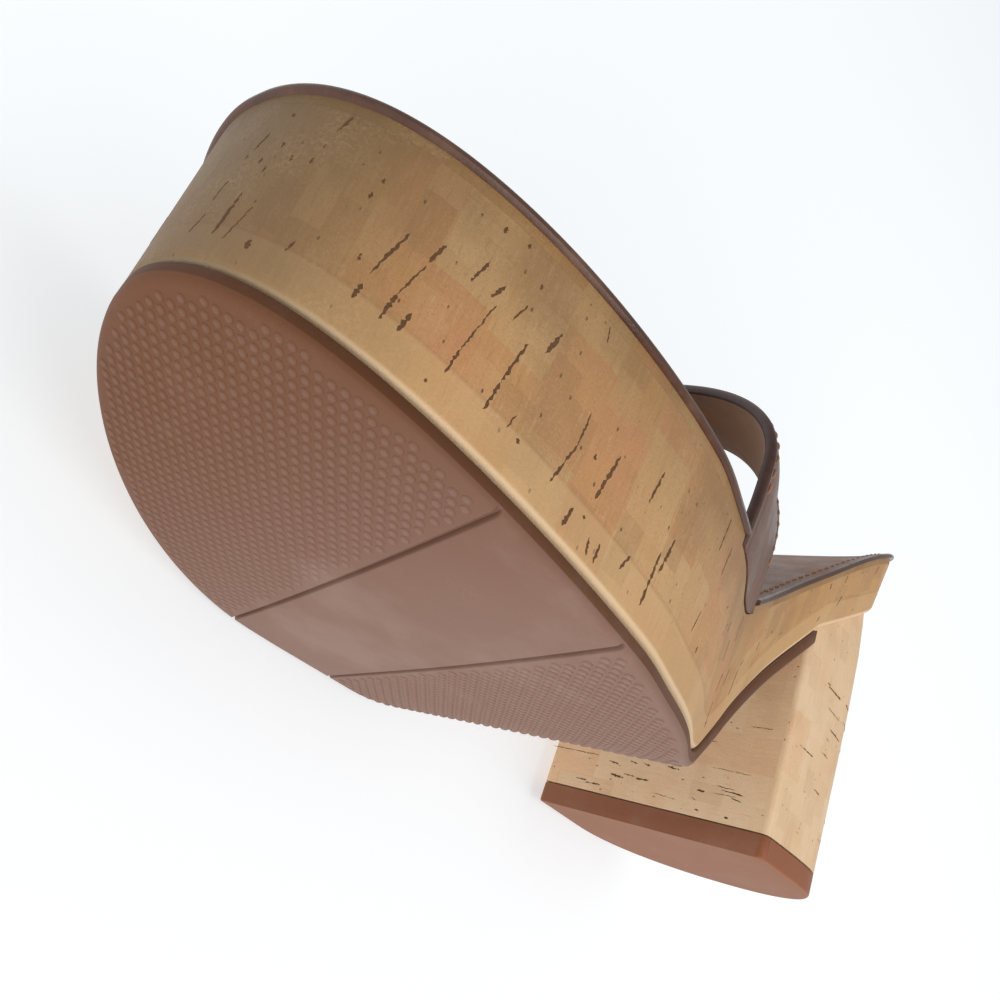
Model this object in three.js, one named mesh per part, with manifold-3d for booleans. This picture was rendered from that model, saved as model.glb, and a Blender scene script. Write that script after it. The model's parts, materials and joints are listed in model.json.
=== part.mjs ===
// Platform sandal, the right shoe of a pair: a cork-wrapped platform and block heel, a moulded rubber
// outsole, a leather footbed and one wide leather band over the forefoot. It lies on its outer side.
// Shoe frame, in millimetres: the origin is on the ground under the ball of the foot, +X runs to the
// toe, +Y to the inner side of the foot and +Z up. The finished shoe is turned over at the end.

import * as THREE from 'three';
import { mergeVertices } from 'three/addons/utils/BufferGeometryUtils.js';
import Module from 'manifold-3d';

const wasm = await Module();
wasm.setup();

// Driving dimensions of the shoe
const ballWidth = 96.4; // outsole, outer to inner side at the ball
const toeLength = 76.3; // ball line to the tip of the outsole
const heelLength = 138.5; // ball line to the back of the seat
const platformHeight = 35; // ground to footbed at the ball
const heelHeight = 100; // ground to footbed at the seat
const toeSpring = 18; // rise of the outsole at its tip
const seatWidth = 65.5; // heel seat, outer to inner side

// Toe and outline
const toeApex = 6.2; // how far the tip stands to the inner side
const seatCentre = 1.7; // how far the seat's middle stands to the inner side
const ballLine = 12; // where the outsole is widest
const springStart = -3.6; // the flat tread spot ends here
const outerToeRoundness = 1.8; // exponent of the outer toe quarter, 2 is an ellipse
const innerToeRoundness = 1.95;
const seatRoundness = 2.2;

// Walls and layers
const soleThickness = 2.6;
const soleEdgeRound = 0.4;
const footbedThickness = 3;
const footbedEdgeRound = 0.9;
const corkEdgeRound = 1.6;
const rimOverhang = 0.9; // the footbed's rim past the cork wall
const leanOuter = 2; // how far the cork wall leans out on its way up
const leanInner = 2.3;
const leanTip = 0.3;
const leanOuterSpread = 0.5; // exponent: how soon the lean grows away from the tip
const leanInnerSpread = 2;
const clearance = 0.3; // between glued pieces
const halfRound = 1 - Math.SQRT1_2; // where a rounded edge is halfway through its turn
const notchClearance = 0.45; // round the band where it passes the footbed

// Underside of the arch
const archStart = -22; // the flat tread spot begins here
const archRadius = 45;
const archSlope = THREE.MathUtils.degToRad(48); // of the straight rise behind the arc
const seatLayer = 7; // cork under the footbed at the back of the seat

// Footbed, as the last's own bottom
const footRiseStart = -25; // the footbed lies flat ahead of this
const seatDish = 1.3;
const ballDish = 0.9;
const archLift = 3;
const seatDishFrom = 0.9; // shares of breastSetback
const seatDishTo = 1.2;
const ballDishReach = 2.5; // share of ballLine
const archPlace = 0.7; // share of breastSetback
const archReach = 22;
const archFromOuter = 0.2; // share of the width that stays level
const bowlSquareness = 4;

// Block heel
const breastSetback = 88.3; // ball line to the heel's front face
const liftThickness = 5;
const liftEdgeRound = 0.6;
const breastCornerRound = 1.6;
const footShareAlong = 0.955; // foot of the block as a share of its top, heel to breast
const footShareAcross = 0.965;

// Grooves across the tread
const grooveWidth = 1;
const grooveDepth = 0.9;
const grooveSlant = THREE.MathUtils.degToRad(19.3); // off crosswise, forward on the inner side
const grooveOffset = -1.8; // rear groove, square from the ball's centre
const grooveReach = 0.62; // share of ballWidth to either side
const plainBandWidth = 25.3; // between the grooves

// Band over the forefoot
const bandThickness = 2;
const bandFrontOuter = 5;
const bandFrontTop = -15;
const bandFrontInner = -9;
const bandBackOuter = -40;
const bandBackTop = -51;
const bandBackInner = -48;
const bandHeightFront = 35; // over the footbed, at the ball line
const bandHeightSlope = 0.17; // how much higher for each millimetre further back
const bulgeHeight = 13; // where the band stands furthest out, over the footbed
const bandProud = 0.7; // the inner side's bulge past the footbed's rim
const bandFootInset = 0.7; // the band's feet inside the footbed's rim
const ridgeShift = 4; // the instep's ridge stands to the inner side
const bandSquareness = 2; // exponent of the arch, 2 is an ellipse

// Mesh steps
const seatSteps = 10;
const waistSteps = 18;
const toeSteps = 13;
const acrossSteps = 7;
const grooveSteps = 14;
const bandSteps = 9;
const bandLegSteps = 3;
const bandArchSteps = 26;
const cornerSteps = 2;

const sides = ['outer', 'inner'];
const sideSign = { outer: -1, inner: 1 };

// Half widths between the seat and the ball line: along is a share of heelLength behind the ball
// (of ballLine ahead of it), outer and inner are shares of ballWidth.
const waistRows = [
  { along: -0.808, outer: 0.3221, inner: 0.3573 },
  { along: -0.64, outer: 0.317, inner: 0.343 },
  { along: -0.5, outer: 0.33, inner: 0.318 },
  { along: -0.36, outer: 0.366, inner: 0.338 },
  { along: -0.225, outer: 0.4, inner: 0.413 },
  { along: -0.11, outer: 0.42, inner: 0.482 },
  { along: 0, outer: 0.44, inner: 0.522 },
  { along: 1, outer: 0.4605, inner: 0.5395 },
];

const lerp = THREE.MathUtils.lerp;
const clamp = THREE.MathUtils.clamp;

function stationX(along) {
  return along > 0 ? along * ballLine : along * heelLength;
}

// Smooth curve through the rows' values, level at both ends.
function throughRows(rows, column, x) {
  const last = rows.length - 1;
  const place = rows.map((row) => stationX(row.along));
  let i = 0;
  while (i < last - 1 && x > place[i + 1]) i += 1;
  const slope = (j) => {
    if (j === 0 || j === last) return 0;
    return (rows[j + 1][column] - rows[j - 1][column]) / (place[j + 1] - place[j - 1]);
  };
  const span = place[i + 1] - place[i];
  const t = clamp((x - place[i]) / span, 0, 1);
  const rise = t * t * (3 - 2 * t);
  const leave = t * (1 - t) * (1 - t);
  const arrive = t * t * (t - 1);
  return lerp(rows[i][column], rows[i + 1][column], rise)
    + span * (leave * slope(i) + arrive * slope(i + 1));
}

// One quarter of a rounded end: share 0 is its widest point and share 1 its tip.
function quarterEnd(share, length, width, roundness) {
  const angle = (share * Math.PI) / 2;
  return {
    forward: length * Math.sin(angle) ** (2 / roundness),
    across: width * Math.abs(Math.cos(angle)) ** (2 / roundness),
  };
}

// A side of the outline, from the back of the seat to the tip of the toe.
function outlineSide(side) {
  const sign = sideSign[side];
  const seatX = stationX(waistRows[0].along);
  const points = [];
  for (let i = 0; i < seatSteps; i += 1) {
    const width = (sign * seatWidth) / 2;
    const end = quarterEnd(1 - i / seatSteps, heelLength + seatX, width, seatRoundness);
    points.push(new THREE.Vector2(seatX - end.forward, seatCentre + end.across));
  }
  for (let i = 0; i < waistSteps; i += 1) {
    const x = lerp(seatX, ballLine, i / waistSteps);
    points.push(new THREE.Vector2(x, sign * ballWidth * throughRows(waistRows, side, x)));
  }
  const ballY = sign * ballWidth * waistRows.at(-1)[side];
  const roundness = side === 'outer' ? outerToeRoundness : innerToeRoundness;
  for (let i = 0; i <= toeSteps; i += 1) {
    const end = quarterEnd(i / toeSteps, toeLength - ballLine, ballY - toeApex, roundness);
    points.push(new THREE.Vector2(ballLine + end.forward, toeApex + end.across));
  }
  return points;
}

// Stations of the whole outline: each has a point and an outward direction on either side.
function outlineStations() {
  const lines = { outer: outlineSide('outer'), inner: outlineSide('inner') };
  const last = lines.outer.length - 1;
  return lines.outer.map((_, i) => {
    const station = {};
    for (const side of sides) {
      const line = lines[side];
      const before = line[Math.max(i - 1, 0)];
      const after = line[Math.min(i + 1, last)];
      const tangent = after.clone().sub(before).normalize();
      const out = new THREE.Vector2(-sideSign[side] * tangent.y, sideSign[side] * tangent.x);
      if (i === 0) out.set(-1, 0);
      if (i === last) out.set(1, 0);
      station[side] = { point: line[i], out };
    }
    return station;
  });
}

// A station square across the shoe.
function squareStation(x) {
  const station = {};
  for (const side of sides) {
    const y = sideSign[side] * ballWidth * throughRows(waistRows, side, x);
    station[side] = {
      point: new THREE.Vector2(x, y),
      out: new THREE.Vector2(0, sideSign[side]),
    };
  }
  return station;
}

const breast = squareStation(-breastSetback);
const soleEnd = squareStation(clearance - breastSetback);
const allStations = outlineStations();
const seatStations = allStations.filter((s) => s.outer.point.x < -breastSetback);
const foreStations = allStations.filter((s) => s.outer.point.x > -breastSetback);
const stations = [...seatStations, breast, ...foreStations];

// How far the wall leans out at its top, for an outward direction.
function leanAt(side, out) {
  const sideways = Math.abs(out.y);
  if (side === 'outer') return lerp(leanTip, leanOuter, sideways ** leanOuterSpread);
  return lerp(leanTip, leanInner, sideways ** leanInnerSpread);
}

// Heights along the shoe, by x
function springAt(x) {
  const share = Math.max(0, x - springStart) / (toeLength - springStart);
  return toeSpring * share * share;
}

// Underside of the outsole: flat spot, toe spring, and the arc and straight rise of the arch.
function underAt(x) {
  const back = archStart - x;
  if (back <= 0) return springAt(x);
  const arcLength = archRadius * Math.sin(archSlope);
  if (back < arcLength) return archRadius - Math.sqrt(archRadius ** 2 - back ** 2);
  return archRadius * (1 - Math.cos(archSlope)) + (back - arcLength) * Math.tan(archSlope);
}

// Thickness of the outsole measured straight up, where it lies on a slope.
function soleUprightAt(x) {
  const back = clamp(archStart - x, 0, archRadius * Math.sin(archSlope));
  const slope = Math.asin(back / archRadius);
  return soleThickness / Math.cos(slope);
}

// Top of the footbed at its rim: level under the ball, then up to the seat.
function footAt(x) {
  const t = clamp((footRiseStart - x) / (heelLength + footRiseStart), 0, 1);
  return platformHeight + springAt(x) + (heelHeight - platformHeight) * t * t * (3 - 2 * t);
}

function corkTopAt(x) {
  return footAt(x) - footbedThickness - clearance;
}

// Underside of the cork: on the outsole ahead of the heel, and a straight line over the heel.
function corkUnderAt(x) {
  const front = Math.max(x, -breastSetback);
  const onSole = underAt(front) + soleUprightAt(front) + clearance;
  const atBack = heelHeight - footbedThickness - seatLayer;
  return lerp(onSole, atBack, (front - x) / (heelLength - breastSetback));
}

// How deep the footbed dips or rises inside its rim, over the whole foot.
function dishAt(x, across) {
  const bowl = 1 - (2 * across - 1) ** bowlSquareness;
  const behind = THREE.MathUtils.smoothstep(
    -x,
    breastSetback * seatDishFrom,
    breastSetback * seatDishTo,
  );
  const ball = ballDish * Math.exp(-((x / ballLine / ballDishReach) ** 2));
  const inward = clamp((across - archFromOuter) / (1 - archFromOuter), 0, 1);
  const arch = archLift * Math.exp(-(((x + breastSetback * archPlace) / archReach) ** 2));
  return arch * Math.sin(Math.PI * inward) - bowl * (seatDish * behind + ball);
}

// A closed body from indexed points, with its faces turned outward.
function closedBody(points, faces) {
  const position = new Float32Array(points.flatMap((p) => [p.x, p.y, p.z]));
  let geometry = new THREE.BufferGeometry();
  geometry.setAttribute('position', new THREE.BufferAttribute(position, 3));
  geometry.setIndex(faces.flat());
  geometry = mergeVertices(geometry, 1e-4);
  const index = geometry.getIndex().array;
  const at = (i) => new THREE.Vector3().fromBufferAttribute(geometry.getAttribute('position'), i);
  const kept = [];
  let volume = 0;
  for (let i = 0; i < index.length; i += 3) {
    const [a, b, c] = [index[i], index[i + 1], index[i + 2]];
    if (a === b || b === c || c === a) continue;
    kept.push([a, b, c]);
    volume += at(a).dot(at(b).cross(at(c)));
  }
  geometry.setIndex(kept.flatMap(([a, b, c]) => (volume < 0 ? [a, c, b] : [a, b, c])));
  return geometry;
}

function quad(faces, a, b, c, d) {
  faces.push([a, b, c], [a, c, d]);
}

// A layer of the sole: rings of points, from its lower edge to its upper edge, at each station.
// levels is a list of (station, side) => Vector3. Its floor and roof are filled straight across,
// and roofDish(x, share) bends the roof.
function layer(places, levels, columns, roofDish = () => 0) {
  const points = [];
  const rows = places.map((station) => levels.map((level, r) => {
    const from = level(station, 'outer');
    const to = level(station, 'inner');
    const isEnd = station === places[0] || station === places.at(-1);
    const isFilled = isEnd || r === 0 || r === levels.length - 1;
    return Array.from({ length: columns + 1 }, (_, c) => {
      if (!isFilled && c > 0 && c < columns) return null;
      const point = from.clone().lerp(to, c / columns);
      if (r === levels.length - 1) point.z += roofDish(point.x, c / columns);
      points.push(point);
      return points.length - 1;
    });
  }));
  const faces = [];
  const top = levels.length - 1;
  for (let i = 0; i < rows.length - 1; i += 1) {
    const [here, next] = [rows[i], rows[i + 1]];
    for (let r = 0; r < top; r += 1) {
      quad(faces, here[r][0], here[r + 1][0], next[r + 1][0], next[r][0]);
      quad(faces, here[r][columns], next[r][columns], next[r + 1][columns], here[r + 1][columns]);
    }
    for (let c = 0; c < columns; c += 1) {
      quad(faces, here[0][c], next[0][c], next[0][c + 1], here[0][c + 1]);
      quad(faces, here[top][c], here[top][c + 1], next[top][c + 1], next[top][c]);
    }
  }
  for (let r = 0; r < top; r += 1) {
    for (let c = 0; c < columns; c += 1) {
      const [start, end] = [rows[0], rows.at(-1)];
      quad(faces, start[r][c], start[r][c + 1], start[r + 1][c + 1], start[r + 1][c]);
      quad(faces, end[r][c], end[r + 1][c], end[r + 1][c + 1], end[r][c + 1]);
    }
  }
  return closedBody(points, faces);
}

// A point on the outline, moved out by grow.
function edgePoint(station, side, grow, heightAt, lift) {
  const { point, out } = station[side];
  const x = point.x + out.x * grow;
  return new THREE.Vector3(x, point.y + out.y * grow, heightAt(x) + lift);
}

function outsole() {
  const ring = (inset, lift) => (station, side) => edgePoint(station, side, -inset, underAt, lift);
  const levels = [
    ring(soleEdgeRound, 0),
    ring(0, soleEdgeRound),
    (station, side) => {
      const point = edgePoint(station, side, 0, underAt, 0);
      point.z += soleUprightAt(point.x);
      return point;
    },
  ];
  return fromSolid(grooves().reduce(
    (body, groove) => body.subtract(groove),
    toSolid(layer([soleEnd, ...foreStations], levels, 1)),
  ));
}

// The two grooves, each a bar that follows the tread's curve.
function grooves() {
  const along = new THREE.Vector2(Math.sin(grooveSlant), Math.cos(grooveSlant));
  const square = new THREE.Vector2(Math.cos(grooveSlant), -Math.sin(grooveSlant));
  const offsets = [grooveOffset, grooveOffset + plainBandWidth];
  return offsets.map((offset) => {
    const points = [];
    const faces = [];
    const corners = [[-1, -1], [1, -1], [1, 1], [-1, 1]];
    for (let i = 0; i <= grooveSteps; i += 1) {
      const run = lerp(-ballWidth, ballWidth, i / grooveSteps) * grooveReach;
      for (const [across, up] of corners) {
        const place = along.clone().multiplyScalar(run);
        place.addScaledVector(square, offset + (across * grooveWidth) / 2);
        points.push(new THREE.Vector3(place.x, place.y, underAt(place.x) + up * grooveDepth));
      }
    }
    const around = corners.length;
    for (let i = 0; i < grooveSteps; i += 1) {
      for (let c = 0; c < around; c += 1) {
        const [here, next] = [i * around + c, i * around + ((c + 1) % around)];
        quad(faces, here, next, next + around, here + around);
      }
    }
    const start = corners.map((_, c) => c);
    quad(faces, ...start.toReversed());
    quad(faces, ...start.map((c) => grooveSteps * around + c));
    return toSolid(closedBody(points, faces));
  });
}

function platform() {
  const ring = (inset, lift) => (station, side) => (
    edgePoint(station, side, -inset, corkUnderAt, lift)
  );
  const levels = [
    ring(corkEdgeRound, 0),
    ring(corkEdgeRound * halfRound, corkEdgeRound * halfRound),
    ring(0, corkEdgeRound),
    (station, side) => (
      edgePoint(station, side, leanAt(side, station[side].out), corkTopAt, 0)
    ),
  ];
  return layer(stations, levels, 1);
}

function footbed() {
  const ring = (inset, lift) => (station, side) => {
    const grow = leanAt(side, station[side].out) + rimOverhang - inset;
    return edgePoint(station, side, grow, footAt, lift - footbedThickness);
  };
  const levels = [
    ring(footbedEdgeRound / 2, 0),
    ring(0, footbedEdgeRound / 2),
    ring(0, footbedThickness - footbedEdgeRound),
    ring(footbedEdgeRound * halfRound, footbedThickness - footbedEdgeRound * halfRound),
    ring(footbedEdgeRound, footbedThickness),
  ];
  return layer(stations, levels, acrossSteps, dishAt);
}

// Stations of the block heel: the seat's own outline, closed by the breast with rounded corners.
function heelPlaces() {
  const behind = seatStations.filter((s) => (
    s.outer.point.x < -breastSetback - breastCornerRound
  ));
  const corner = Array.from({ length: cornerSteps + 1 }, (_, i) => {
    const angle = (i / cornerSteps) * (Math.PI / 2);
    const place = {};
    for (const side of sides) {
      const inset = breastCornerRound * (1 - Math.cos(angle));
      const { point, out } = breast[side];
      place[side] = {
        point: new THREE.Vector2(
          point.x - breastCornerRound * (1 - Math.sin(angle)),
          point.y - out.y * inset,
        ),
        out,
      };
    }
    return place;
  });
  return [...behind, ...corner];
}

// A point of the heel's wall, drawn in towards its foot.
function heelPoint(station, side, inset, height) {
  const { point, out } = station[side];
  const share = 1 - clamp(height / heelHeight, 0, 1);
  const x = point.x - out.x * inset;
  const y = point.y - out.y * inset;
  return new THREE.Vector3(
    lerp(x, -breastSetback + (x + breastSetback) * footShareAlong, share),
    lerp(y, seatCentre + (y - seatCentre) * footShareAcross, share),
    height,
  );
}

function heelBlock() {
  const foot = liftThickness + clearance;
  const levels = [
    (station, side) => heelPoint(station, side, 0, foot),
    (station, side) => {
      const under = (x) => corkUnderAt(x) - clearance;
      const near = heelPoint(station, side, corkEdgeRound, under(station[side].point.x));
      return heelPoint(station, side, corkEdgeRound, under(near.x));
    },
  ];
  return layer(heelPlaces(), levels, 1);
}

function heelLift() {
  const levels = [
    (station, side) => heelPoint(station, side, liftEdgeRound, 0),
    (station, side) => heelPoint(station, side, 0, liftEdgeRound),
    (station, side) => heelPoint(station, side, 0, liftThickness),
  ];
  return layer(heelPlaces(), levels, 1);
}

// Where the footbed's rim runs, by x, on one side.
function rimAt(side, x) {
  const sideLean = side === 'outer' ? leanOuter : leanInner;
  return ballWidth * throughRows(waistRows, side, x) + sideLean + rimOverhang;
}

// The band's outer surface: share 0 is its outer foot, share 1 its inner foot.
function bandSurface(x, share, bulge) {
  const legShare = bandLegSteps / (2 * bandLegSteps + bandArchSteps);
  const outerY = -(rimAt('outer', x) + bulge);
  const innerY = rimAt('inner', x) + bandProud;
  const shoulder = footAt(x) + bulgeHeight;
  const foot = corkTopAt(x) + clearance;
  if (share < legShare || share > 1 - legShare) {
    const side = share < 0.5 ? 'outer' : 'inner';
    const up = Math.min(share, 1 - share) / legShare;
    const proud = side === 'outer' ? bulge : bandProud;
    const tuck = (proud + bandFootInset) * (1 - up) ** 2;
    const y = side === 'outer' ? outerY + tuck : innerY - tuck;
    return new THREE.Vector3(x, y, lerp(foot, shoulder, up));
  }
  const angle = Math.PI * ((share - legShare) / (1 - 2 * legShare));
  const power = 2 / bandSquareness;
  const swing = Math.sign(Math.cos(angle)) * Math.abs(Math.cos(angle)) ** power;
  const height = bandHeightFront - bulgeHeight + bandHeightSlope * (ballLine - x);
  const y = (outerY + innerY) / 2 + (swing * (outerY - innerY)) / 2;
  const lift = Math.abs(Math.sin(angle)) ** power;
  return new THREE.Vector3(x, y + ridgeShift * lift * lift, shoulder + height * lift);
}

// Where an edge of the band runs: straight down its sides and drawn back over the instep.
function bandEdgeX(outerX, topX, innerX, share) {
  const over = Math.sin(Math.PI * share) ** 2;
  return lerp(lerp(outerX, innerX, share), topX, over);
}

// The band as a shell. outset moves its outer face out, depth is from the surface to its inner face,
// margin widens it to the front and back and footDrop lengthens its two feet.
function bandShell({ bulge, outset = 0, depth = bandThickness, margin = 0, footDrop = 0 }) {
  const steps = 2 * bandLegSteps + bandArchSteps;
  const rowLength = steps + 1;
  const surface = (run, share) => {
    const back = bandEdgeX(bandBackOuter, bandBackTop, bandBackInner, share) - margin;
    const front = bandEdgeX(bandFrontOuter, bandFrontTop, bandFrontInner, share) + margin;
    return bandSurface(lerp(back, front, run), share, bulge);
  };
  const outward = (run, share) => {
    const step = 1e-3;
    const alongBand = surface(run, Math.min(share + step, 1)).sub(surface(run, Math.max(share - step, 0)));
    const alongShoe = surface(Math.min(run + step, 1), share).sub(surface(Math.max(run - step, 0), share));
    const normal = alongShoe.cross(alongBand).normalize();
    if (share === 0 || share === 1) normal.setZ(0).normalize();
    return normal;
  };
  const points = [];
  const faces = [];
  for (const offset of [outset, -depth]) {
    for (let i = 0; i <= bandSteps; i += 1) {
      for (let j = 0; j <= steps; j += 1) {
        const [run, share] = [i / bandSteps, j / steps];
        const point = surface(run, share).addScaledVector(outward(run, share), offset);
        if (j === 0 || j === steps) point.z -= footDrop;
        points.push(point);
      }
    }
  }
  const inside = (bandSteps + 1) * rowLength;
  for (let i = 0; i < bandSteps; i += 1) {
    for (let j = 0; j < steps; j += 1) {
      const [a, b] = [i * rowLength + j, (i + 1) * rowLength + j];
      quad(faces, a, a + 1, b + 1, b);
      quad(faces, inside + a, inside + b, inside + b + 1, inside + a + 1);
    }
    for (const j of [0, steps]) {
      const [a, b] = [i * rowLength + j, (i + 1) * rowLength + j];
      const loop = [a, b, inside + b, inside + a];
      quad(faces, ...(j === 0 ? loop : loop.reverse()));
    }
  }
  for (const i of [0, bandSteps]) {
    for (let j = 0; j < steps; j += 1) {
      const a = i * rowLength + j;
      const loop = [a, inside + a, inside + a + 1, a + 1];
      quad(faces, ...(i === 0 ? loop : loop.reverse()));
    }
  }
  return closedBody(points, faces);
}

function toSolid(geometry) {
  const vertProperties = new Float32Array(geometry.getAttribute('position').array);
  const triVerts = new Uint32Array(geometry.getIndex().array);
  return new wasm.Manifold(new wasm.Mesh({ numProp: 3, vertProperties, triVerts }));
}

function fromSolid(solid) {
  const mesh = solid.getMesh();
  const geometry = new THREE.BufferGeometry();
  geometry.setAttribute('position', new THREE.BufferAttribute(mesh.vertProperties, 3));
  geometry.setIndex(new THREE.BufferAttribute(mesh.triVerts, 1));
  return geometry;
}

function pointsOf(geometry) {
  const position = geometry.getAttribute('position');
  return Array.from({ length: position.count }, (_, i) => (
    new THREE.Vector3().fromBufferAttribute(position, i)
  ));
}

// The floor under the shoe's outer side: it touches each group of points once.
function floorUnder(groups) {
  const down = new THREE.Vector3(0, -1, 0);
  let contacts = [];
  for (let turn = 0; turn < 12; turn += 1) {
    contacts = groups.map((group) => (
      group.reduce((best, point) => (point.dot(down) > best.dot(down) ? point : best))
    ));
    const [a, b, c] = contacts;
    down.crossVectors(b.clone().sub(a), c.clone().sub(a)).normalize();
    if (down.y > 0) down.negate();
  }
  return { down, reach: contacts[0].dot(down) };
}

// The outer bulge that brings the band just down to the floor.
function bulgeToFloor(floor) {
  const reachOf = (bulge) => Math.max(
    ...pointsOf(bandShell({ bulge })).map((point) => point.dot(floor.down)),
  );
  let [low, high] = [-bandFootInset, bulgeHeight];
  for (let turn = 0; turn < 24; turn += 1) {
    const middle = (low + high) / 2;
    if (reachOf(middle) > floor.reach) high = middle;
    else low = middle;
  }
  return low;
}

const plainFootbed = footbed();
const rimPoints = pointsOf(plainFootbed);
const liftGeometry = heelLift();
const floor = floorUnder([
  rimPoints.filter((point) => point.x > archStart),
  rimPoints.filter((point) => point.x < -breastSetback),
  pointsOf(liftGeometry),
]);
const bulge = bulgeToFloor(floor);
const bandNotch = bandShell({
  bulge,
  outset: bulgeHeight,
  depth: bandThickness + notchClearance,
  margin: notchClearance,
  footDrop: footbedThickness,
});
const cutFootbed = fromSolid(toSolid(plainFootbed).subtract(toSolid(bandNotch)));

const rubber = new THREE.MeshStandardMaterial({ color: 0x96705f, roughness: 0.62 });
const cork = new THREE.MeshStandardMaterial({ color: 0xc49a6c, roughness: 0.7 });
const leather = new THREE.MeshStandardMaterial({ color: 0x6b3f2c, roughness: 0.5 });
const liftRubber = new THREE.MeshStandardMaterial({ color: 0xa06e5a, roughness: 0.6 });

const pieces = [
  ['outsole', outsole(), rubber],
  ['platform', platform(), cork],
  ['heel_block', heelBlock(), cork],
  ['heel_lift', liftGeometry, liftRubber],
  ['footbed', cutFootbed, leather],
  ['vamp_band', bandShell({ bulge }), leather],
];

const shoe = new THREE.Group();
for (const [name, geometry, material] of pieces) {
  const mesh = new THREE.Mesh(geometry, material);
  mesh.name = name;
  shoe.add(mesh);
}

// The shoe lies on its outer side: the floor's normal is up, and the toe points to -X.
const up = floor.down.clone().negate();
const back = new THREE.Vector3(-1, 0, 0).projectOnPlane(up).normalize();
const turned = new THREE.Matrix4().makeBasis(back, up.clone().cross(back), up).transpose();
shoe.quaternion.setFromRotationMatrix(turned);
shoe.updateMatrixWorld(true);

// The origin is on the floor under the middle of the shoe's box.
const box = new THREE.Box3();
for (const mesh of shoe.children) {
  for (const point of pointsOf(mesh.geometry)) box.expandByPoint(point.applyMatrix4(mesh.matrixWorld));
}
const middle = box.getCenter(new THREE.Vector3());
shoe.position.set(-middle.x, -middle.y, -box.min.z);

const root = new THREE.Group();
root.add(shoe);

export default root;
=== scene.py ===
"""Looks of the platform sandal, the right shoe of a pair, lying on its outer side.

Every form is worked out in the shoe's own frame, in millimetres: the origin is on the ground
under the ball, X runs to the toe, Y to the inner side of the foot and Z up. ShoeFrame takes it to
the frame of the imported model, from the two flat spots that the model's record gives.
"""

import json
import logging
import math
from collections.abc import Callable, Sequence
from dataclasses import dataclass, field
from enum import Enum

import bmesh
import bpy
import numpy as np
from mathutils import Matrix, Vector

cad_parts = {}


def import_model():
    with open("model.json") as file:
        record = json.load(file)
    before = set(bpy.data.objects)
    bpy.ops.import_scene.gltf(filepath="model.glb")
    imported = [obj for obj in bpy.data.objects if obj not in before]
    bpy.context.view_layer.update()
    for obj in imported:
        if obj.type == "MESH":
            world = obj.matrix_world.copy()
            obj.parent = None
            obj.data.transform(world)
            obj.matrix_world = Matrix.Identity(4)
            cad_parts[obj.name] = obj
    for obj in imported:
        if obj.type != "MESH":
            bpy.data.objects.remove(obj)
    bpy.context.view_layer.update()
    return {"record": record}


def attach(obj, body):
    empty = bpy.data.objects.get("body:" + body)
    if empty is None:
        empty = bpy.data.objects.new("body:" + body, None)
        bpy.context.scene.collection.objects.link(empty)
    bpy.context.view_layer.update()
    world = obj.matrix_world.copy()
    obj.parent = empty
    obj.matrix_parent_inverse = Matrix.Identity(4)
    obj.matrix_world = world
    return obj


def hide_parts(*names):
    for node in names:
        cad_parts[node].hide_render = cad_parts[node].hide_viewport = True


LOG = logging.getLogger("sandal")
MM_PER_M = 1000
# Millimetres below which two points of a small piece are one.
FINE_MERGE = 0.0005
# Shift across a streak's width, and lift off its wall, of the four corners of its section.
STREAK_SECTION = ((-0.5, 0.0), (0.0, 0.05), (0.5, 0.0), (0.0, -0.25))
Triple = tuple[float, float, float]
Color = Triple
Array = np.ndarray
Material = bpy.types.Material
Node = bpy.types.Node
Piece = bpy.types.Object
Socket = bpy.types.NodeSocket
Tree = bpy.types.NodeTree


class Side(Enum):
    """A side of the shoe, with the sign of its Y."""

    OUTER = -1
    INNER = 1


def rgb(red: int, green: int, blue: int) -> Color:
    """Linear colour from the 0 to 255 values of a screen.

    Args:
        red: first channel.
        green: second channel.
        blue: third channel.

    Returns:
        The linear channels.
    """
    def linear(value: int) -> float:
        """One channel, from 0 to 255, as a linear share."""
        share = value / 255
        return share / 12.92 if share <= 0.04045 else ((share + 0.055) / 1.055) ** 2.4

    return linear(red), linear(green), linear(blue)


def smooth(value: Array | float, low: float, high: float) -> Array:
    """Smooth step from 0 at low to 1 at high."""
    share = np.clip((np.asarray(value, float) - low) / (high - low), 0, 1)
    return share * share * (3 - 2 * share)


def mix(first: Array | float, second: Array | float, share: Array | float) -> Array:
    """Value between first and second by share."""
    return first + (second - first) * share


def sampled(table: Array, place: Array, at: Array) -> Array:
    """A table read off at places between its rows."""
    return np.column_stack([np.interp(at, place, column) for column in table.T])


def run_of(line: Array) -> Array:
    """Length along a line of points, from its first point."""
    return np.r_[0, np.cumsum(np.linalg.norm(np.diff(line, axis=0), axis=1))]


def rounded(radius: float, degrees: float) -> tuple[float, float]:
    """How far in and up a rounded lower edge is, at an angle from its foot."""
    angle = math.radians(degrees)
    return radius * (1 - math.sin(angle)), radius * (1 - math.cos(angle))


def unit(rows: Array) -> Array:
    """Rows brought to length one."""
    return rows / np.linalg.norm(rows, axis=1)[:, None]


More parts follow.
